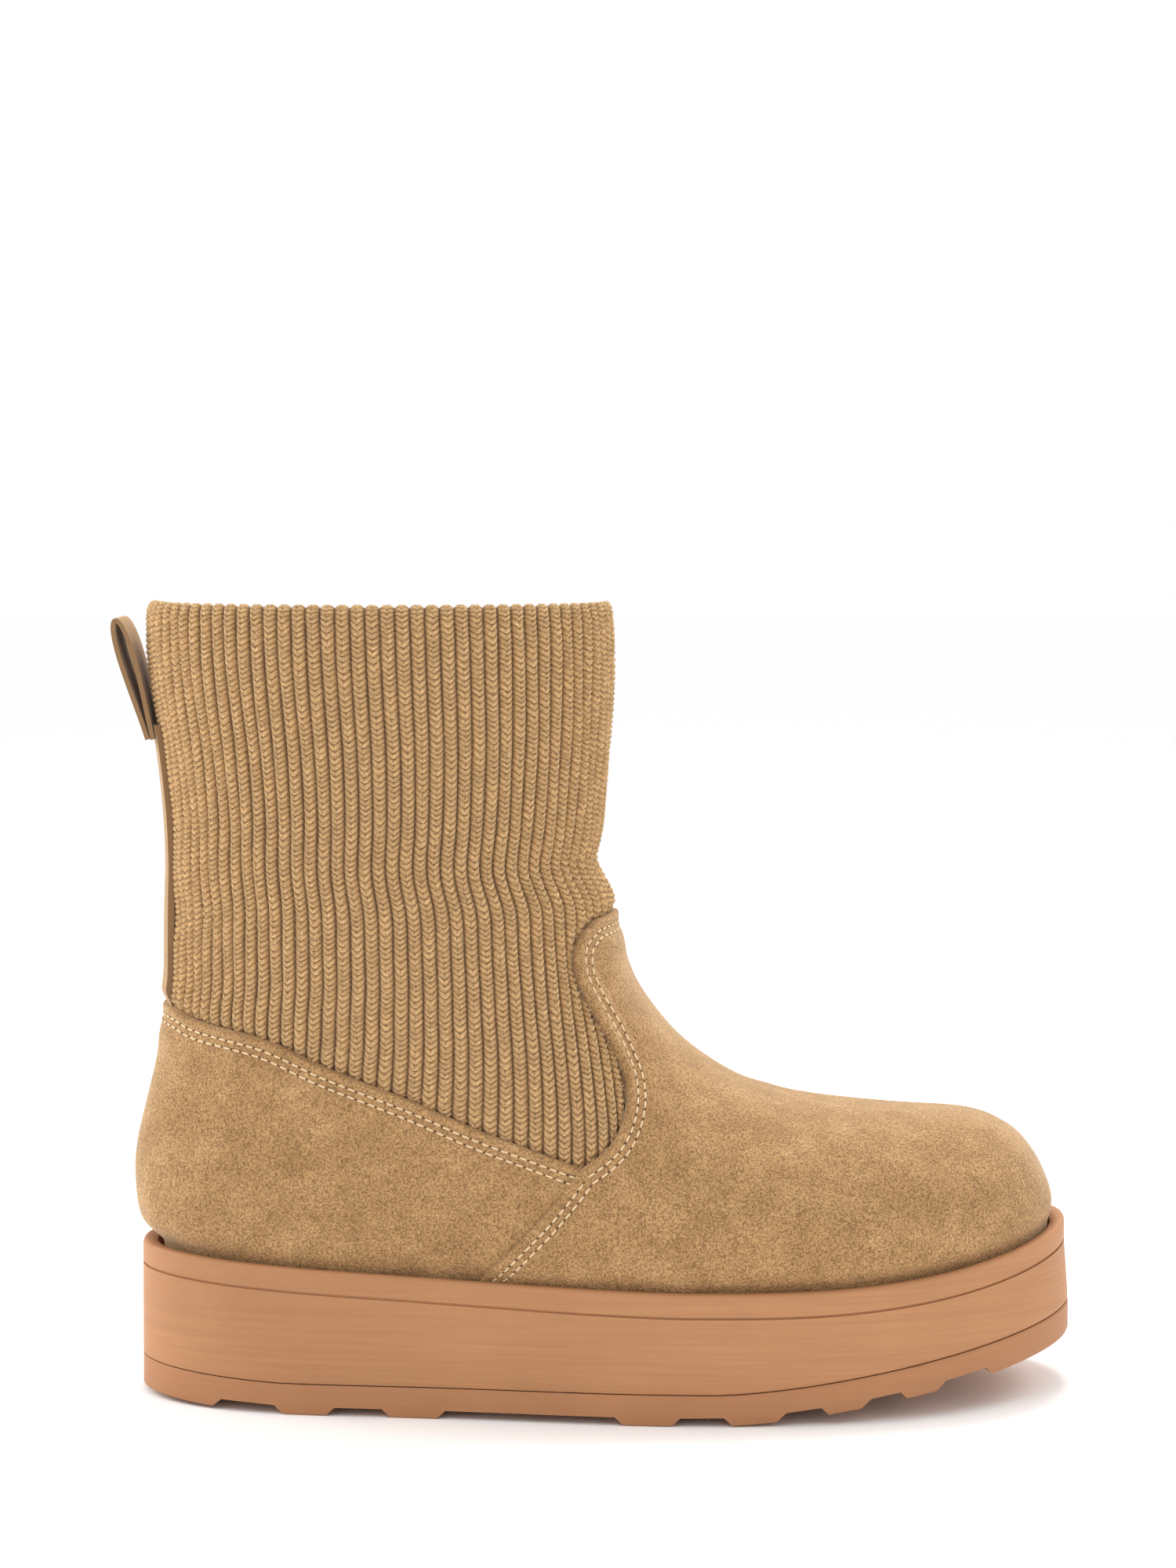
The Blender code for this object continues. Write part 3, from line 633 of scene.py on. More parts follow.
def seam_paths():
    """Every visible seam: name, path and normals."""
    paths = []
    near_vamp, near_normals = surface_path(VAMP_LINE, True)
    far_vamp, far_normals = far_side(near_vamp[:-1], near_normals[:-1])
    points = np.concatenate([near_vamp, far_vamp[::-1]])
    normals = np.concatenate([near_normals, far_normals[::-1]])
    paths.append(("vamp_top", *resampled(points, normals, SEAM_STEP)))
    for name, line in (("vamp_low", LOWER_LINE), ("quarter", QUARTER_LINE)):
        near, turned = surface_path(line, False)
        far, far_turned = far_side(near, turned)
        if name == "quarter":
            points = np.concatenate([near[::-1], far])
            normals = np.concatenate([turned[::-1], far_turned])
            paths.append((name, *resampled(points, normals, SEAM_STEP)))
        else:
            paths.append((name + "_outer", *resampled(near, turned, SEAM_STEP)))
            paths.append((name + "_inner", *resampled(far, far_turned, SEAM_STEP)))
    return paths


def swept(points, normals, inwards, profile):
    """A strip along a path. The profile's columns are the way into the suede and the height."""
    rows = []
    for across, height in profile:
        rows.append(points + inwards * across + normals * height)
    grid = np.stack(rows, 0)
    return grid.reshape(-1, 3), grid_faces(len(rows), points.shape[0], False)


def way_in(points, normals, centre):
    """Unit vectors across a path, towards a centre."""
    along = unit(np.gradient(points, axis=0))
    across = unit(np.cross(normals, along))
    middle = len(points) // 2
    if np.dot(across[middle], centre - points[middle]) < 0:
        across = -across
    return along, across


def edge_roll(lift):
    """Profile of a turned edge: up from the knit, over, and down on to the suede."""
    return (
        (0.0010, lift - 0.0034),
        (-0.0002, lift - 0.0030),
        (-0.0004, lift - 0.0016),
        (-0.0003, lift - 0.0007),
        (0.0000, lift - 0.0002),
        (0.0003, lift + 0.00010),
        (0.0007, lift + 0.00022),
        (0.0011, lift + 0.00022),
        (0.0015, lift + 0.00010),
        (0.0019, lift - 0.00005),
        (0.0022, lift - 0.00040),
    )


def capsules(points, along, normals, length, radius, squash):
    """Stitches: small rounded grains at points, along a direction, flattened on the surface."""
    rings, around = 6, 6
    side = np.cross(normals, along)
    verts = []
    faces = []
    theta = np.linspace(0, math.pi, rings + 1)
    phi = np.arange(around) * 2 * math.pi / around
    for n in range(len(points)):
        start = len(verts)
        a, s, up = along[n], side[n], normals[n]
        for t in theta:
            lengthways = -math.cos(t) * length / 2
            wide = max(math.sin(t), 0.12) ** 0.6 * radius
            for p in phi:
                verts.append(
                    points[n] + a * lengthways + s * wide * math.cos(p)
                    + up * wide * squash * math.sin(p)
                )
        for i in range(rings):
            for j in range(around):
                k = (j + 1) % around
                low, high = start + i * around, start + (i + 1) * around
                faces.append((low + j, low + k, high + k, high + j))
        faces.append(tuple(start + j for j in range(around)))
        faces.append(tuple(start + rings * around + j for j in range(around)))
    return verts, faces


def on_surface(points, normals):
    """Points moved sideways on to the body's surface, where they aren't at its very front."""
    place, angle, t = place_of(points[:, 0], points[:, 2])
    outer = points[:, 1] < axis_y(points[:, 0])
    angle = np.where(outer, angle, -angle)
    side = (t < 0.985) & (t > 0.004)
    moved = np.where(side[:, None], body(place, angle), points)
    turned = np.where(side[:, None], body_normal(place, angle), normals)
    return moved, turned


def stitch_row(points, normals, across, offset, height, pitch):
    """Stitches along a seam, at an offset into the suede."""
    line, normals = on_surface(points + across * offset, normals)
    lift = height + stitched_relief(offset) + creases(line)
    line = line + normals * lift[:, None]
    length = walked(line)
    keys = np.arange(pitch * 0.6, length[-1] - pitch * 0.4, pitch)
    keys = keys + rng.uniform(-0.00012, 0.00012, len(keys))
    ahead = read_path(keys + 0.0004, length, line)
    before = read_path(keys - 0.0004, length, line)
    up = unit(read_path(keys, length, normals))
    return read_path(keys, length, line), unit(ahead - before), up


def joined(parts):
    """Several meshes as one list of points and faces."""
    verts = []
    faces = []
    for some_verts, some_faces in parts:
        start = len(verts)
        verts.extend(np.asarray(some_verts).tolist())
        faces.extend([[start + int(i) for i in face] for face in some_faces])
    return np.array(verts), faces


def slices(levels, way=1):
    """Level slices of the body, from the back to the front, per level. Way 1 goes over the
    outer side and way -1 over the inner side."""
    angles = way * np.linspace(0, math.pi, SLICE_SAMPLES + 1)
    z = levels[:, None]
    low = np.zeros((len(levels), len(angles)))
    high = np.full_like(low, float(len(RING_TABLE) - 1))
    for _ in range(24):
        middle = (low + high) / 2
        below = body(middle, angles[None, :])[..., 2] < z
        low = np.where(below, middle, low)
        high = np.where(below, high, middle)
    return body(middle, angles[None, :])


def side_height(x_share, rise_share):
    return float(sole_top(x_share * SOLE_LENGTH)) + rise_share * UPPER_HEIGHT


THROAT_Z = side_height(*VAMP_SEAM[-2])
GORE_Z = side_height(*QUARTER_SEAM[-1])
WAIST_Z = 0.170
COLLAR_Z = HEEL_TOP + COLLAR_AT * UPPER_HEIGHT
COLLAR_TOP = COLLAR_Z + 0.0016
FOLD_RADIUS = KNIT_WALL / 2 + 0.0004
FOLD_HEIGHT = 0.0042
FUZZ_COUNT = 24000
INNER_STRIDE = 5


def read_fractions(samples, fractions):
    """Points on slices at these fractions of their walking length, one row per slice."""
    run = np.linalg.norm(np.diff(samples, axis=1), axis=2)
    length = np.concatenate([np.zeros((len(run), 1)), np.cumsum(run, 1)], 1)
    out = np.empty((len(samples), fractions.shape[1], 3))
    for i in range(len(samples)):
        keys = fractions[i] * length[i, -1]
        for k in range(3):
            out[i, :, k] = np.interp(keys, length[i], samples[i, :, k])
    return out


def fractions_at(samples, wanted):
    """Walking fractions at which a slice reaches these x."""
    length = walked(samples)
    return np.interp(wanted, samples[:, 0], length / length[-1])


def half_rings(levels, shares, way=1):
    """One side of the knit tube before its ribs: one row of points for each level.

    Above the waist the ribs share the outline evenly. Below it they keep their share of the
    tube's depth, and below the vamp's top they run down with a slight fan to the front.
    """
    samples = slices(levels, way)
    fractions = np.tile(shares, (len(levels), 1))
    waist = slices(np.array([WAIST_Z]), way)
    throat_x = slices(np.array([THROAT_Z]), way)[0, -1, 0]
    start_x = read_fractions(waist, shares[None, :])[0, :, 0]
    depth = (start_x - start_x[0]) / (start_x[-1] - start_x[0])
    for i in np.flatnonzero(levels < WAIST_Z):
        fan = RIB_FAN * smooth((THROAT_Z + 0.004 - levels[i]) / (THROAT_Z - GORE_Z))
        back, front = samples[i, 0, 0], min(samples[i, -1, 0], throat_x)
        followed = fractions_at(samples[i], mix(back, front, depth) + shares**3 * fan)
        over_front = shares**6 * smooth((levels[i] - THROAT_Z + 0.010) / 0.015)
        at_back = (1 - shares) ** 8
        even = np.clip(over_front + at_back, 0, 1)
        fade = smooth((WAIST_Z - levels[i]) / 0.02)
        fractions[i] = mix(shares, mix(followed, shares, even), fade)
    return read_fractions(samples, fractions)


STITCH_PITCH = 0.00165
RIB_DEPTH = 0.0018
KNIT_BOTTOM = 0.066
KNIT_TUCK = 0.0035
FOLD_ROWS = 26
FOLD_STITCH = 0.31
YARN_END_LENGTH = 0.0017
YARN_END_WIDTH = 0.00007


def stitch_place(phase, height):
    """Which stitch of the rib's chain of Vs a point is on."""
    return height / STITCH_PITCH - 0.80 * np.abs(2 * phase)


def knit_relief(phase, height):
    """Height of the knit over the rib's middle (phase 0) and gaps (phase 0.5) and its V
    stitches at this height up the shaft."""
    across = np.abs(2 * phase)
    arch = 1 - across**2.1
    seam = 0.0005 * np.exp(-((across / 0.16) ** 2))
    turn = np.abs(np.sin(math.pi * stitch_place(phase, height)))
    loops = (turn**0.9 - 0.64) * np.clip(1.2 - across, 0, 1)
    return RIB_DEPTH * (arch - 1) - seam + 0.00105 * loops


def slouch(points, levels):
    """Soft folds of the knit above the vamp and at the ankle, as heights in metres."""
    x = points[..., 0] / SOLE_LENGTH
    z = levels[:, None]
    front = smooth((x - 0.30) / 0.20)
    fold = 0.0007 * hill(z - 0.1420, 0.0042) - 0.0009 * hill(z - 0.1530, 0.0036)
    back = smooth((0.25 - x) / 0.20)
    ankle = 0.0007 * hill(z - 0.150 - 0.04 * x, 0.008) - 0.0006 * hill(z - 0.135 - 0.05 * x, 0.006)
    return front * fold + back * ankle


def knit_side(name, outer, samples, row_height, first_share, last_share):
    """One side of the knit tube, from its hidden lower edge to the collar's fold."""
    columns = RIBS_PER_SIDE * samples
    shares = np.arange(columns + 1) / columns
    wanted = (shares >= first_share - 1e-9) & (shares <= last_share + 1e-9)
    shares = shares[wanted]
    top = COLLAR_TOP - FOLD_HEIGHT
    count = int((top - KNIT_BOTTOM) / row_height)
    levels = np.linspace(KNIT_BOTTOM, top, count)
    way = 1 if outer else -1
    half = half_rings(levels, np.arange(columns + 1) / columns, way)
    normals = way * grid_normals(half, False)
    normals[:, 0] = (-1.0, 0.0, 0.0)
    normals[:, -1, 1] = 0.0
    normals = unit(normals)
    half = half[:, wanted]
    normals = normals[:, wanted]
    phase = (shares * RIBS_PER_SIDE + 0.5) % 1.0 - 0.5
    rib = np.floor(shares * RIBS_PER_SIDE + 0.5)[None, :]
    wobble = 0.0005 * np.sin(levels[:, None] * 160 + rib * 2.4)
    wobble = wobble + 0.0003 * np.sin(levels[:, None] * 431 + rib * 5.1)
    relief = knit_relief(phase[None, :], levels[:, None] + wobble)
    relief = relief + slouch(half, levels)
    relief = relief + 0.00022 * np.sin(levels[:, None] * 120 + rib * 1.7)
    inwards = signed(half, KNIT_OUTLINE, KNIT_EDGE)
    keep = inwards + KNIT_TUCK
    sunk = smooth(keep / KNIT_TUCK)
    relief = mix(np.minimum(relief, -0.0004), relief, sunk)
    relief = relief - 0.0013 * hill(inwards, 0.0017)
    points = half + normals * (relief - KNIT_SINK)[..., None]
    points = dipped(points, half, levels[:, None])
    rim = collar_fold(half[-1], normals[-1], phase, levels[-1] + wobble[-1])
    inner = np.arange(count - 2, 0, -INNER_STRIDE)
    inner_relief = 0.5 * knit_relief(phase[None, :], levels[inner][:, None])
    out = -2 * FOLD_RADIUS - KNIT_SINK - inner_relief
    inner_face = half[inner] + normals[inner] * out[..., None]
    inner_face = dipped(inner_face, half[inner], levels[inner][:, None])
    above = np.ones((len(rim), keep.shape[1]))
    keep = np.concatenate([keep, above, keep[inner]], 0)
    stitches = stitch_place(phase[None, :], levels[:, None] + wobble)
    ribs = np.tile(shares * RIBS_PER_SIDE, (len(levels), 1))
    more = len(rim) + len(inner)
    stitches = np.concatenate([stitches, np.tile(stitches[-1], (more, 1))], 0)
    stitches[len(levels) :] += (np.arange(more)[:, None] + 1) * FOLD_STITCH
    ribs = np.concatenate([ribs, np.tile(ribs[0], (more, 1))], 0)
    points = np.concatenate([points, rim, inner_face], 0)
    # Distance from the rib's middle, which the knit material uses to paint shade into the gaps between
    # ribs.
    gap = np.abs(2 * phase)[None, :].repeat(len(points), 0)
    return grid_piece(name, points, keep > 0, np.stack([ribs, stitches, gap], -1), not outer)


def dipped(points, half, z):
    """The collar lies a little lower on the inner side and sags a touch at its middle."""
    inwards = np.maximum(0.0, half[..., 1] - axis_y(half[..., 0])) / (SHAFT_WIDTH / 2)
    lowered = points.copy()
    fade = smooth((z - COLLAR_Z + 0.05) / 0.05)
    lowered[..., 2] -= COLLAR_DIP * inwards**COLLAR_DIP_POWER * fade
    return lowered


def collar_fold(edge, normals, phase, z):
    """The collar's turned rim: from the outer face over the top to the inner face."""
    rows = []
    for turn in np.linspace(0.03, 1.0, FOLD_ROWS) * math.pi:
        relief = knit_relief(phase, z + turn * FOLD_HEIGHT)
        relief = relief * (1.0 - 0.6 * math.sin(turn / 2))
        out = (math.cos(turn) - 1) * FOLD_RADIUS - KNIT_SINK + relief * math.cos(turn)
        up = math.sin(turn) * FOLD_HEIGHT + relief * math.sin(turn)
        row = edge + normals * out[:, None]
        row[:, 2] += up
        rows.append(dipped(row, edge, COLLAR_TOP - FOLD_HEIGHT))
    return np.stack(rows, 0)


def grid_piece(name, points, keep, yarn, flipped):
    """A mesh from a grid, without the quads that have a corner left out."""
    rows, columns = keep.shape
    quads = grid_faces(rows, columns, False)
    quads = quads[keep.ravel()[quads].all(1)]
    if flipped:
        quads = quads[:, ::-1]
    verts, faces, used = compact(points.reshape(-1, 3), [quads])
    obj = make_object(name, verts, faces[0])
    values = yarn.reshape(-1, 3)[used].astype(np.float32)
    attribute = obj.data.attributes.new("yarn", "FLOAT_VECTOR", "POINT")
    attribute.data.foreach_set("vector", values.ravel())
    return obj


def sole_ring(height, inset=0.0):
    angle = np.arange(2 * SOLE_COLUMNS) * math.pi / SOLE_COLUMNS
    share = (1 - np.cos(angle)) / 2
    outer = np.sin(angle) > 0
    x = mix(max(inset, 0.0), SOLE_LENGTH - inset, share)
    wide = half_width(share, outer) * (1 - inset / OUTER_BALL)
    wide = np.where(np.abs(np.sin(angle)) < 1e-6, 0.0, wide)
    y = axis_y(x) + np.where(outer, -1, 1) * wide
    return np.stack([x, y, height(x)], -1)


def lofted(rings, cap_ends=True):
    """A closed solid from rings; both ends are capped with strips across."""
    n = len(rings[0])
    faces = grid_faces(len(rings), n, True).tolist()
    if cap_ends:
        for start in (0, (len(rings) - 1) * n):
            for j in range(n // 2):
                corners = (start + j, start + j + 1, start + n - j - 1, start + (n - j) % n)
                faces.append(list(dict.fromkeys(corners)))
    return np.concatenate(rings), faces


def turn_outwards(obj):
    bm = bmesh.new()
    bm.from_mesh(obj.data)
    bmesh.ops.recalc_face_normals(bm, faces=bm.faces)
    bm.to_mesh(obj.data)
    bm.free()


def make_closed(name, shape, sharp_angle):
    """A closed piece with its faces turned outwards and its sharp edges kept."""
    obj = make_object(name, *shape)
    turn_outwards(obj)
    obj.data.set_sharp_from_angle(angle=math.radians(sharp_angle))
    return obj


def make_midsole():
    def edge(drop):
        return lambda x: sole_top(x) - drop

    def between(share):
        def height(x):
            low = parting(x) + CLEARANCE
            high = sole_top(x) - SIDE_GROOVE_DROP - SIDE_GROOVE_HEIGHT
            return mix(low, high, share)

        return height

    rings = [sole_ring(lambda x: parting(x) + CLEARANCE, -SIDE_FLARE + 0.0012)]
    for share in (0.0, 0.03, 0.10, 0.25, 0.5, 0.75, 0.92):
        inset = mix(-SIDE_FLARE, 0.0, share) + 0.0005 * math.exp(-share / 0.02)
        rings.append(sole_ring(between(share), inset))
    rings.append(sole_ring(edge(SIDE_GROOVE_DROP + SIDE_GROOVE_HEIGHT), 0.0))
    rings.append(sole_ring(edge(SIDE_GROOVE_DROP + SIDE_GROOVE_HEIGHT * 0.9), SIDE_GROOVE_DEPTH))
    rings.append(sole_ring(edge(SIDE_GROOVE_DROP + SIDE_GROOVE_HEIGHT * 0.2), SIDE_GROOVE_DEPTH))
    rings.append(sole_ring(edge(SIDE_GROOVE_DROP), 0.0))
    rings.append(sole_ring(edge(SIDE_GROOVE_DROP * 0.5), 0.0))
    for turn in np.linspace(0, math.pi / 2, 6):
        radius = 0.0014
        rings.append(sole_ring(edge(radius * (1 - math.sin(turn))), radius * (1 - math.cos(turn))))
    rings.append(sole_ring(edge(0.0), RIM_WIDTH * 0.7))
    rings.append(sole_ring(edge(0.0004), RIM_WIDTH))
    rings.append(sole_ring(edge(CUP_DEPTH), RIM_WIDTH + 0.0002))
    return lofted(rings)


def make_outsole():
    def above(rise):
        return lambda x: sole_bottom(x) + rise

    radius = 0.0008
    rings = [
        sole_ring(sole_bottom, radius - SIDE_FLARE),
        sole_ring(above(radius * 0.3), radius * 0.3 - SIDE_FLARE),
        sole_ring(above(radius), -SIDE_FLARE),
        sole_ring(above(OUTSOLE_THICKNESS * 0.5), -SIDE_FLARE),
        sole_ring(lambda x: parting(x) - 0.0006, -SIDE_FLARE),
        sole_ring(parting, -SIDE_FLARE + 0.0004),
    ]
    return lofted(rings)


def tread_groove(start, end):
    """A chevron cutter across the tread."""
    below = TOE_SPRING
    rows = []
    for y, slant in ((-1.3 * OUTER_BALL, -0.3), (0.0, 1.0), (1.3 * INNER_BALL, -0.3)):
        row = []
        for share, way in ((start, -1), (end, 1)):
            x = share * SOLE_LENGTH - slant * LUG_SLANT
            roof_x = x - way * LUG_CHAMFER
            floor_x = x + way * LUG_CHAMFER * below / LUG_DEPTH
            y_here = float(axis_y(x)) + y
            row.append((roof_x, y_here, float(sole_bottom(roof_x)) + LUG_DEPTH))
            row.append((floor_x, y_here, float(sole_bottom(x)) - below))
        rows.append([row[0], row[1], row[3], row[2]])
    verts = [p for row in rows for p in row]
    faces = grid_faces(3, 4, True).tolist() + [[0, 1, 2, 3], [8, 9, 10, 11]]
    return verts, faces


def cut_tread(outsole):
    """Cuts the grooves and applies them, then drops the cutters."""
    cutters = []
    for start, end in TREAD_GROOVES:
        verts, faces = tread_groove(start, end)
        mesh = bpy.data.meshes.new("tread_cutter")
        mesh.from_pydata((np.array(verts) - ORIGIN).tolist(), [], faces)
        cutter = bpy.data.objects.new("tread_cutter", mesh)
        bpy.context.scene.collection.objects.link(cutter)
        turn_outwards(cutter)
        cutters.append(cutter)
        modifier = outsole.modifiers.new("Groove", "BOOLEAN")
        modifier.object = cutter
        modifier.operation = "DIFFERENCE"
        modifier.solver = "EXACT"
    bpy.context.view_layer.update()
    graph = bpy.context.evaluated_depsgraph_get()
    cut = bpy.data.meshes.new_from_object(outsole.evaluated_get(graph))
    outsole.modifiers.clear()
    outsole.data = cut
    for cutter in cutters:
        bpy.data.objects.remove(cutter)
    cut.shade_smooth()
    cut.set_sharp_from_angle(angle=math.radians(30))


def back_x(z, y):
    """How far back the shaft's slice lies at a distance from its middle."""
    samples = slices(np.atleast_1d(z).astype(float))[0][: SLICE_SAMPLES // 2]
    side = axis_y(samples[:, 0]) - samples[:, 1]
    return np.interp(np.abs(y), side, samples[:, 0])


def strap_grid(low, high, rows, columns, lift, half):
    """A band up the back of the shaft, a lift off the rib tops."""
    out = []
    for z in np.linspace(low, high, rows):
        y = np.linspace(-half, half, columns)
        x = back_x(z, y) + KNIT_SINK
        step = half / 20
        slope = (back_x(z, np.abs(y) + step) + KNIT_SINK - x) / step
        away = unit(np.stack([-np.ones_like(y), np.sign(y) * slope, np.zeros_like(y)], -1))
        row = np.stack([x, axis_y(x) + y, np.full_like(y, z)], -1)
        out.append(row + away * lift)
    return np.stack(out, 0)


def closed_band(outside, inside):
    """A thin solid between two grids of the same size."""
    rows, columns, _ = outside.shape
    verts = np.concatenate([outside.reshape(-1, 3), inside.reshape(-1, 3)])
    faces = grid_faces(rows, columns, False).tolist()
    n = rows * columns
    faces += [[n + i for i in face[::-1]] for face in faces]
    ring = [j for j in range(columns)]
    ring += [i * columns + columns - 1 for i in range(1, rows)]
    ring += [(rows - 1) * columns + j for j in range(columns - 2, -1, -1)]
    ring += [i * columns for i in range(rows - 2, 0, -1)]
    for a, b in zip(ring, ring[1:] + ring[:1]):
        faces.append([b, a, n + a, n + b])
    return verts, faces


LOOP_ROOT_Z = HEEL_TOP + LOOP_ROOT_AT * UPPER_HEIGHT


def strap_piece():
    low = side_height(*QUARTER_SEAM[1]) - 0.004
    high = LOOP_ROOT_Z + 0.004
    half = STRAP_WIDTH / 2
    outside = strap_grid(low, high, 170, 40, CLEARANCE + STRAP_THICKNESS, half)
    inside = strap_grid(low, high, 170, 40, -0.0004, half)
    tuck = 1 - smooth((outside[..., 2] - low - 0.003) / 0.006)
    outside[..., 0] += 0.0026 * tuck
    inside[..., 0] += 0.0014 * tuck
    return closed_band(outside, inside)


def loop_grid(half_thickness):
    """The folded tape's inner or outer face, as rows along the tape."""
    turns = np.linspace(0, 1, 150)
    root_x = float(back_x(LOOP_ROOT_Z, 0.0)) + KNIT_SINK - CLEARANCE
    middle = root_x - LOOP_THICKNESS - CLEARANCE / 2
    up = (1 - np.cos(2 * math.pi * turns)) / 2
    feet = (LOOP_THICKNESS / 2 + CLEARANCE / 2) * np.cos(math.pi * turns)
    swell = LOOP_GAP / 2 * np.sin(2 * math.pi * turns) * up**LOOP_TAPER * LOOP_FULLNESS
    x = middle + feet - LOOP_LEAN * up + swell
    z = LOOP_ROOT_Z + (LOOP_HEIGHT - LOOP_THICKNESS / 2) * up
    along = unit(np.stack([np.gradient(x), np.gradient(z)], -1))
    x = x + along[:, 1] * half_thickness
    z = z - along[:, 0] * half_thickness
    y = np.linspace(-STRAP_WIDTH / 2, STRAP_WIDTH / 2, 24)
    grid = np.zeros((len(x), len(y), 3))
    grid[..., 0] = x[:, None]
    grid[..., 1] = y[None, :]
    grid[..., 2] = z[:, None]
    return grid


def loop_piece():
    return closed_band(loop_grid(LOOP_THICKNESS / 2), loop_grid(-LOOP_THICKNESS / 2))


def fuzz(count, length, width):
    """Loose yarn ends: thin curved blades that stand off the knit's ribs."""
    z = rng.uniform(0.074, COLLAR_TOP - FOLD_HEIGHT, count)
    share = rng.uniform(0.0, 1.0, count)
    outer = rng.uniform(0.0, 1.0, count) < 0.5
    levels = np.linspace(0.072, COLLAR_TOP - FOLD_HEIGHT, 160)
    columns = 400
    i = np.clip(np.searchsorted(levels, z), 1, len(levels) - 1)
    f = ((z - levels[i - 1]) / (levels[i] - levels[i - 1]))[:, None]
    j = np.minimum((share * (columns - 1)).astype(int), columns - 2)
    g = (share * (columns - 1) - j)[:, None]
    root = np.zeros((count, 3))
    up = np.zeros((count, 3))
    for way, chosen in ((1, outer), (-1, ~outer)):
        half = half_rings(levels, np.linspace(0, 1, columns), way)
        low = mix(half[i - 1, j], half[i, j], f)
        high = mix(half[i - 1, j + 1], half[i, j + 1], f)
        root[chosen] = mix(low, high, g)[chosen]
        up[chosen] = way * grid_normals(half, False)[i, j][chosen]
    inside = signed(root, KNIT_OUTLINE, KNIT_EDGE) > 0.0008
    phase = (share * RIBS_PER_SIDE + 0.5) % 1.0 - 0.5
    root, up, outer, phase, z = (a[inside] for a in (root, up, outer, phase, z))
    flip = np.where(outer, 1.0, -1.0)
    around = unit(np.cross((0.0, 0.0, 1.0), up))
    base = knit_relief(phase, z) - KNIT_SINK - 0.0001
    root = dipped(root + up * base[:, None], root, z)
    n = len(root)
    leg = np.sign(phase * flip + 1e-9)[:, None] * around * -0.8
    lay = unit(leg + np.array((0.0, 0.0, 0.75)) + around * rng.normal(0, 0.35, (n, 1)))
    lay = unit(lay + np.array((0.0, 0.0, 1.0)) * rng.normal(0, 0.30, (n, 1)))
    reach = length * rng.uniform(0.6, 1.3, (n, 1))
    rise = rng.uniform(0.15, 0.55, (n, 1)) * reach
    side = unit(np.cross(lay, up)) * width / 2
    middle = root + lay * reach * 0.5 + up * rise * 0.7
    tip = root + lay * reach + up * rise * 0.75
    verts = np.stack([root - side, root + side, middle + side, middle - side, tip], 1)
    start = np.arange(n)[:, None] * 5
    quads = (start + np.array((0, 1, 2, 3))).tolist()
    points = (start + np.array((3, 2, 4))).tolist()
    return verts.reshape(-1, 3), quads + points


def make_insole():
    """The footbed: a soft slab inside the upper's seat."""
    angles = np.linspace(0, 2 * math.pi, 160, endpoint=False)
    seat = body(np.zeros(160), angles)
    along = np.roll(seat, -1, 0) - np.roll(seat, 1, 0)
    away = unit(np.stack([along[:, 1], -along[:, 0], np.zeros(160)], -1))
    rings = []
    for inset, height in ((0.0, 0.0), (0.0, 0.0030), (0.0006, 0.0038), (0.002, 0.0041)):
        ring = seat - away * (SUEDE_WALL + 2 * CLEARANCE + inset)
        ring[:, 2] = sole_top(ring[:, 0]) + CLEARANCE - CUP_DEPTH + height
        rings.append(ring)
    return lofted(rings)


def node_material(name, build):
    """A new material; build adds its nodes and sets the shader's own sockets."""
    made = bpy.data.materials.new(name)
    made.use_nodes = True
    tree = made.node_tree
    build(tree, tree.nodes["Principled BSDF"])
    return made


def add_node(tree, kind, inputs=None, **settings):
    node = tree.nodes.new(kind)
    for key, value in settings.items():
        setattr(node, key, value)
    for key, value in (inputs or {}).items():
        if isinstance(value, bpy.types.NodeSocket):
            tree.links.new(value, node.inputs[key])
        else:
            node.inputs[key].default_value = value
    return node


def colour_ramp(tree, factor, stops):
    node = add_node(tree, "ShaderNodeValToRGB", {"Fac": factor})
    ramp = node.color_ramp
    while len(ramp.elements) < len(stops):
        ramp.elements.new(0.5)
    for element, (place, colour) in zip(ramp.elements, stops):
        element.position = place
        element.color = (*colour, 1)
    return node.outputs["Color"]


def noise(tree, vector, scale, detail=2.0, roughness=0.5):
    settings = {"Vector": vector, "Scale": scale, "Detail": detail, "Roughness": roughness}
    return add_node(tree, "ShaderNodeTexNoise", settings).outputs["Fac"]


def multiplied(tree, colour, by, share=1.0):
    settings = {"data_type": "RGBA", "blend_type": "MULTIPLY"}
    return add_node(tree, "ShaderNodeMix", {0: share, 6: colour, 7: by}, **settings).outputs[2]


def set_values(shader, values):
    for name, value in values.items():
        shader.inputs[name].default_value = value


def bumps(tree, shader, layers):
    """Bump layers on one shader: height socket and depth in metres."""
    normal = None
    for height, depth in layers:
        inputs = {"Height": height, "Distance": depth, "Strength": 1.0}
        if normal is not None:
            inputs["Normal"] = normal
        normal = add_node(tree, "ShaderNodeBump", inputs).outputs["Normal"]
    tree.links.new(normal, shader.inputs["Normal"])


def suede_nodes(dark, middle, light):
    def build(tree, shader):
        where = add_node(tree, "ShaderNodeTexCoord").outputs["Object"]
        nap = noise(tree, where, 95, 4.0, 0.6)
        fine = noise(tree, where, 900, 3.0, 0.6)
        grain = noise(tree, where, 1700, 2.0, 0.7)
        stops = ((0.32, dark), (0.5, middle), (0.70, light))
        base = colour_ramp(tree, nap, stops)
        speck = colour_ramp(tree, grain, ((0.36, (0.58, 0.55, 0.52)), (0.64, (1.42, 1.45, 1.48))))
        tree.links.new(multiplied(tree, base, speck), shader.inputs["Base Color"])
        set_values(shader, {"Roughness": 0.95, "Specular IOR Level": 0.15, "Sheen Weight": 0.35})
        set_values(shader, {"Sheen Roughness": 0.45, "Sheen Tint": (1.0, 0.86, 0.68, 1)})
        bumps(tree, shader, ((nap, 0.0006), (fine, 0.00022), (grain, 0.00008)))

    return build


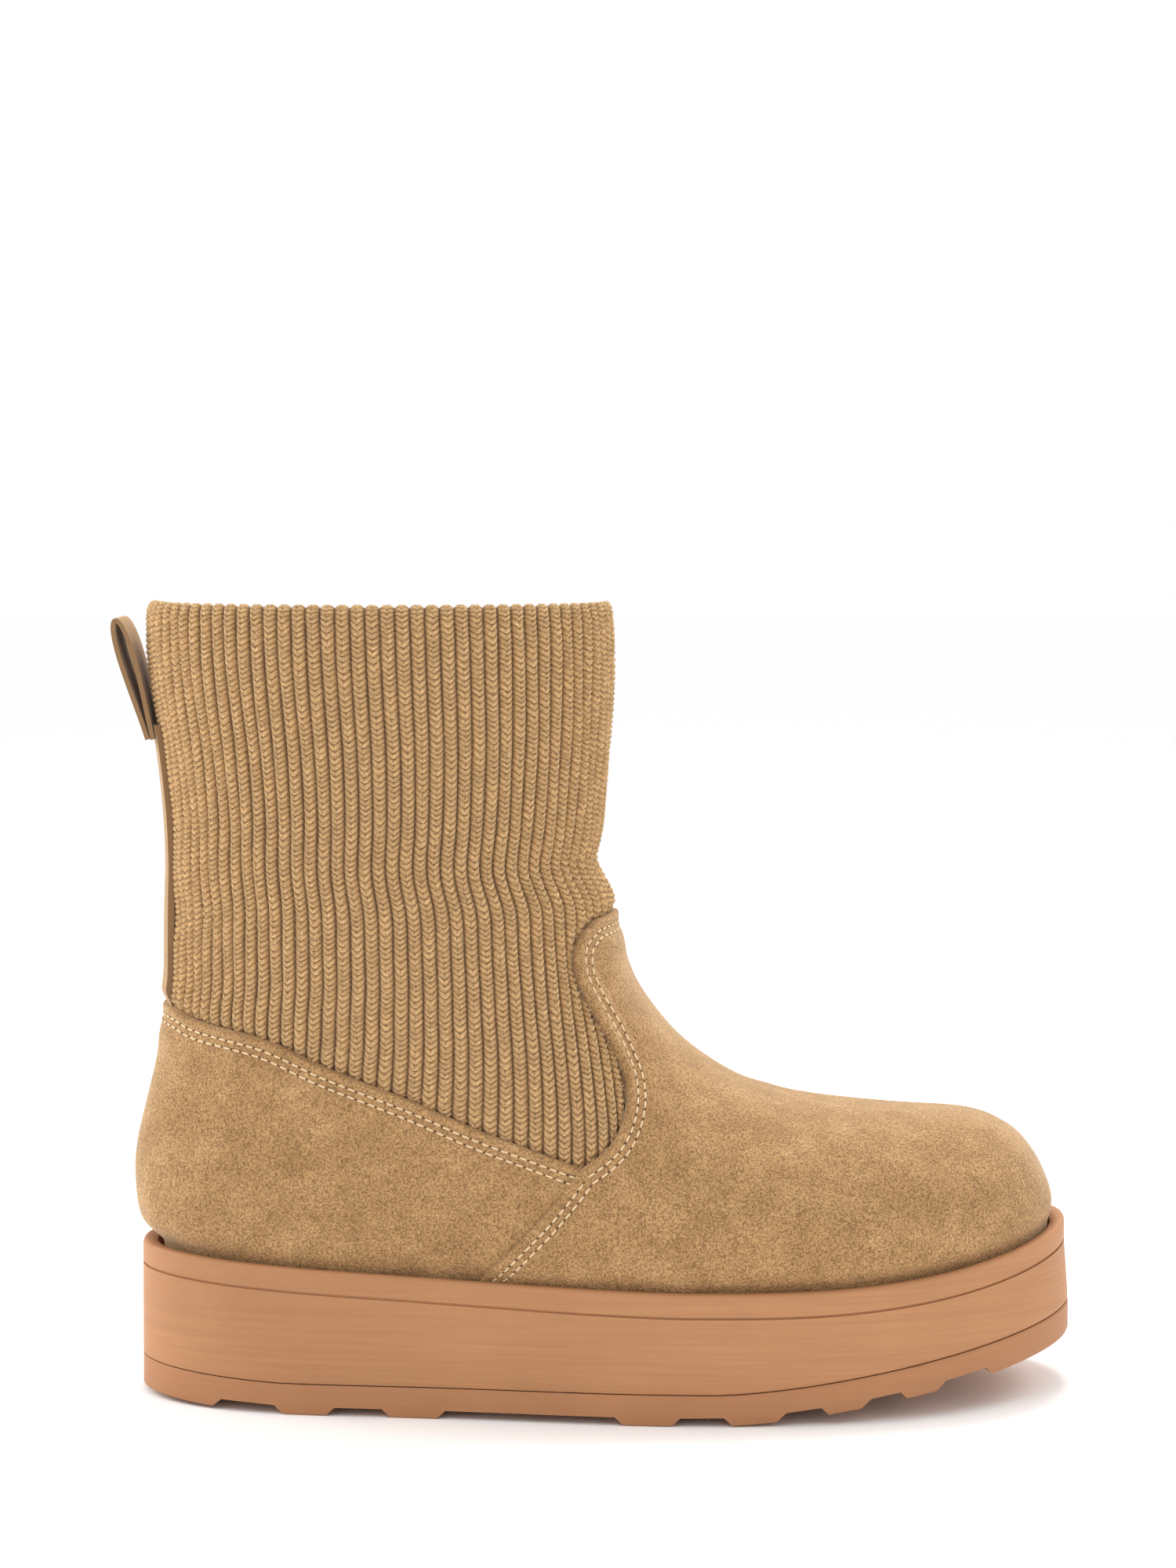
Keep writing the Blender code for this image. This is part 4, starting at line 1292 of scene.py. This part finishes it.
def knit_nodes(tree, shader):
    where = add_node(tree, "ShaderNodeTexCoord").outputs["Object"]
    yarn = add_node(tree, "ShaderNodeAttribute", attribute_name="yarn").outputs["Vector"]
    gap = add_node(tree, "ShaderNodeSeparateXYZ", {"Vector": yarn}).outputs["Z"]
    laid = add_node(tree, "ShaderNodeMapping", {"Vector": yarn, "Scale": (1.6, 4.0, 0.0)})
    strands = noise(tree, laid.outputs["Vector"], 1.0, 3.0, 0.65)
    # Painted shade: the knit's colour darkens from each rib's middle into the gaps between ribs, where
    # shade falls.
    base = colour_ramp(
        tree,
        gap,
        ((0.0, (0.64, 0.405, 0.190)), (0.70, (0.58, 0.355, 0.160)), (1.0, (0.20, 0.105, 0.042))),
    )
    fibres = noise(tree, where, 1500, 3.0, 0.7)
    patches = noise(tree, where, 60, 2.0, 0.5)
    speck = colour_ramp(tree, fibres, ((0.32, (0.72, 0.70, 0.68)), (0.68, (1.25, 1.25, 1.25))))
    tone = colour_ramp(tree, strands, ((0.32, (0.68, 0.65, 0.62)), (0.66, (1.26, 1.28, 1.30))))
    stitch = add_node(tree, "ShaderNodeSeparateXYZ", {"Vector": yarn}).outputs["Y"]
    turn = add_node(tree, "ShaderNodeMath", {0: stitch}, operation="FRACT").outputs["Value"]
    # Painted shade along each V stitch: darker at the turns where loops pass under each other, a
    # little lighter over each loop's middle.
    shade = (0.58, 0.53, 0.48)
    bright = (1.10, 1.11, 1.12)
    loop = colour_ramp(tree, turn, ((0.0, shade), (0.30, bright), (0.72, bright), (1.0, shade)))
    colour = base
    for layer in (speck, tone, loop):
        colour = multiplied(tree, colour, layer)
    tree.links.new(colour, shader.inputs["Base Color"])
    set_values(shader, {"Roughness": 1.0, "Specular IOR Level": 0.1, "Sheen Weight": 0.35})
    set_values(shader, {"Sheen Roughness": 0.5, "Sheen Tint": (1.0, 0.88, 0.70, 1)})
    bumps(tree, shader, ((strands, 0.0006), (fibres, 0.0003), (patches, 0.0004)))


def rubber_nodes(dark, light, streak):
    def build(tree, shader):
        where = add_node(tree, "ShaderNodeTexCoord").outputs["Object"]
        stretch = add_node(
            tree, "ShaderNodeMapping", {"Vector": where, "Scale": (6.0, 6.0, 260.0)}
        ).outputs["Vector"]
        streaks = noise(tree, stretch, 3.0, 3.0, 0.6)
        fine = noise(tree, where, 1800, 2.0, 0.6)
        clouds = noise(tree, where, 35, 2.0, 0.5)
        base = colour_ramp(tree, clouds, ((0.3, dark), (0.7, light)))
        lines = colour_ramp(tree, streaks, ((0.3, (0.93, 0.93, 0.93)), (0.7, (1.05, 1.05, 1.05))))
        colour = multiplied(tree, base, lines, streak)
        tree.links.new(colour, shader.inputs["Base Color"])
        set_values(shader, {"Roughness": 0.62, "Specular IOR Level": 0.3})
        bumps(tree, shader, ((streaks, 0.00025), (fine, 0.00005)))

    return build


def tape_nodes(tree, shader):
    where = add_node(tree, "ShaderNodeTexCoord").outputs["Object"]
    twill = add_node(
        tree,
        "ShaderNodeTexWave",
        {"Vector": where, "Scale": 300.0, "Distortion": 1.5, "Detail": 2.0},
        bands_direction="DIAGONAL",
    ).outputs["Fac"]
    fine = noise(tree, where, 1400, 3.0, 0.6)
    base = colour_ramp(tree, fine, ((0.3, (0.31, 0.185, 0.085)), (0.7, (0.43, 0.27, 0.13))))
    tree.links.new(base, shader.inputs["Base Color"])
    set_values(shader, {"Roughness": 0.95, "Specular IOR Level": 0.15, "Sheen Weight": 0.15})
    bumps(tree, shader, ((twill, 0.0001), (fine, 0.00015)))


def plain_nodes(colour, roughness):
    def build(tree, shader):
        where = add_node(tree, "ShaderNodeTexCoord").outputs["Object"]
        fine = noise(tree, where, 1500, 2.0, 0.6)
        set_values(shader, {"Base Color": (*colour, 1), "Roughness": roughness})
        bumps(tree, shader, ((fine, 0.00006),))

    return build


SUEDE = node_material(
    "suede", suede_nodes((0.305, 0.172, 0.073), (0.35, 0.203, 0.088), (0.41, 0.245, 0.112))
)
KNIT = node_material("knit", knit_nodes)
FOAM = node_material(
    "midsole_foam", rubber_nodes((0.41, 0.196, 0.089), (0.445, 0.215, 0.098), 1.0)
)
RUBBER = node_material(
    "outsole_rubber", rubber_nodes((0.375, 0.172, 0.077), (0.405, 0.187, 0.084), 0.4)
)
TAPE = node_material("tape", tape_nodes)
TAPE_EDGE = node_material("tape_edge", plain_nodes((0.26, 0.15, 0.07), 0.95))
LINING = node_material("lining", plain_nodes((0.50, 0.36, 0.22), 0.95))
YARN_ENDS = node_material("yarn_ends", plain_nodes((0.72, 0.50, 0.27), 1.0))
THREAD = node_material("thread", plain_nodes((0.74, 0.56, 0.34), 0.7))
# Painted shade for the needle holes between stitches.
HOLE_SHADE = node_material("needle_hole_shade", plain_nodes((0.13, 0.07, 0.03), 1.0))


def darken_edges(obj, limit):
    """Gives the tape's cut edges, which face sideways, a darker material of their own."""
    obj.data.materials.append(TAPE_EDGE)
    for polygon in obj.data.polygons:
        if abs(polygon.normal.y) > limit:
            polygon.material_index = 1


def finish(obj, made, replaced=None):
    obj.data.materials.clear()
    obj.data.materials.append(made)
    if replaced:
        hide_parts(replaced)
    return obj


def build_upper():
    vamp = make_object("vamp", *vamp_sheet())
    finish(vamp, SUEDE, "upper")
    quarter = make_object("quarter", *quarter_sheet())
    finish(quarter, SUEDE)
    lining = make_object("upper_lining", *lining_sheet(240, 90))
    finish(lining, LINING)
    heel = body(2.0, 0.0)
    rolls = []
    threads = []
    hole_shades = []
    for name, points, normals in seam_paths():
        if name == "quarter":
            centre, lift = heel, 0.0
        else:
            centre, lift = np.array((0.22, 0.0, 0.05)), VAMP_STEP
        along, across = way_in(points, normals, centre)
        rolls.append(swept(points, normals, across, edge_roll(lift)))
        for row, pitch in zip(STITCH_ROWS, SEWN_PITCHES):
            grains = stitch_row(points, normals, across, row, lift + 0.00012, pitch)
            threads.append(capsules(*grains, pitch * 0.74, THREAD_RADIUS, 0.85))
            # Painted shade: a small dark grain sunk a little into the suede between each two stitches,
            # standing in for the shade inside the needle hole.
            centre_line, way, up = grains
            gaps = (centre_line + way * pitch / 2 - up * 0.0001, way, up)
            hole_shades.append(capsules(*gaps, HOLE_LENGTH, HOLE_RADIUS, 0.6))
    edges = make_object("turned_edges", *joined(rolls))
    finish(edges, SUEDE)
    stitches = make_object("stitches", *joined(threads))
    turn_outwards(stitches)
    finish(stitches, THREAD)
    needle_hole_shades = make_object("needle_hole_shades", *joined(hole_shades))
    turn_outwards(needle_hole_shades)
    finish(needle_hole_shades, HOLE_SHADE)


def build_knit():
    pieces = []
    sides = (("knit_outer", True, KNIT_SAMPLES, KNIT_ROW), ("knit_inner", False, FAR_SAMPLES, FAR_ROW))
    for name, outer, samples, row in sides:
        pieces.append(knit_side(name + "_back", outer, samples, row, 0.0, 0.5))
        pieces.append(knit_side(name + "_front", outer, samples, row, 0.5, 1.0))
    for piece in pieces:
        finish(piece, KNIT)
    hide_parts("shaft")
    ends = make_object("yarn_ends", *fuzz(FUZZ_COUNT, YARN_END_LENGTH, YARN_END_WIDTH))
    finish(ends, YARN_ENDS)


def build_sole():
    midsole = make_closed("midsole_visual", make_midsole(), 40)
    finish(midsole, FOAM, "midsole")
    outsole = make_object("outsole_visual", *make_outsole())
    turn_outwards(outsole)
    cut_tread(outsole)
    finish(outsole, RUBBER, "outsole")
    insole = make_object("insole_visual", *make_insole())
    turn_outwards(insole)
    finish(insole, LINING, "insole")


def build_tape():
    for node, shape in (("back_strap", strap_piece()), ("pull_loop", loop_piece())):
        piece = make_closed(node + "_visual", shape, 50)
        finish(piece, TAPE, node)
        darken_edges(piece, 0.75)


FLOOR_REACH = 6.0
CAMERA_LENS = 79.5
CAMERA_SHIFT = -0.12
CAMERA_PLACE = (-0.001761, -1.001319, 0.260)
CAMERA_TILT = 1.78

# Soft lights: name, place, height aimed at, size and power
LIGHTS = (
    ("key", (-0.4, -1.0, 1.2), 0.08, 0.5, 2),
    ("rim_left", (-1.0, 0.2, 0.5), 0.12, 0.6, 6),
    ("rim_right", (0.9, 0.3, 0.8), 0.14, 0.5, 2.5),
    ("rim_top", (0.1, 0.4, 1.0), 0.12, 0.5, 8),
)


def add_light(name, place, aim_height, size, power):
    data = bpy.data.lights.new(name, "AREA")
    data.shape = "DISK"
    data.size = size
    data.energy = power
    obj = bpy.data.objects.new(name, data)
    obj.location = place
    direction = Vector((0, 0, aim_height)) - Vector(place)
    obj.rotation_euler = direction.to_track_quat("-Z", "Y").to_euler()
    bpy.context.scene.collection.objects.link(obj)


def studio():
    world = bpy.data.worlds.new("studio")
    world.use_nodes = True
    set_values(world.node_tree.nodes["Background"], {"Color": (1, 1, 1, 1), "Strength": 1.0})
    bpy.context.scene.world = world
    bpy.context.scene.view_settings.view_transform = "Standard"
    mesh = bpy.data.meshes.new("floor")
    corners = ((-1, -1), (1, -1), (1, 1), (-1, 1))
    mesh.from_pydata([(x * FLOOR_REACH, y * FLOOR_REACH, 0) for x, y in corners], [], [range(4)])
    floor = bpy.data.objects.new("floor", mesh)
    bpy.context.scene.collection.objects.link(floor)
    floor.data.materials.append(node_material("floor", plain_nodes((0.99, 0.99, 0.99), 0.9)))
    for light in LIGHTS:
        add_light(*light)


def add_camera():
    data = bpy.data.cameras.new("camera")
    data.lens = CAMERA_LENS
    data.sensor_width = 36.0
    data.shift_y = CAMERA_SHIFT
    camera = bpy.data.objects.new("camera", data)
    camera.location = CAMERA_PLACE
    camera.rotation_euler = (math.radians(90 - CAMERA_TILT), 0, 0)
    bpy.context.scene.collection.objects.link(camera)
    bpy.context.scene.camera = camera


build_sole()
build_upper()
build_knit()
build_tape()
studio()
add_camera()
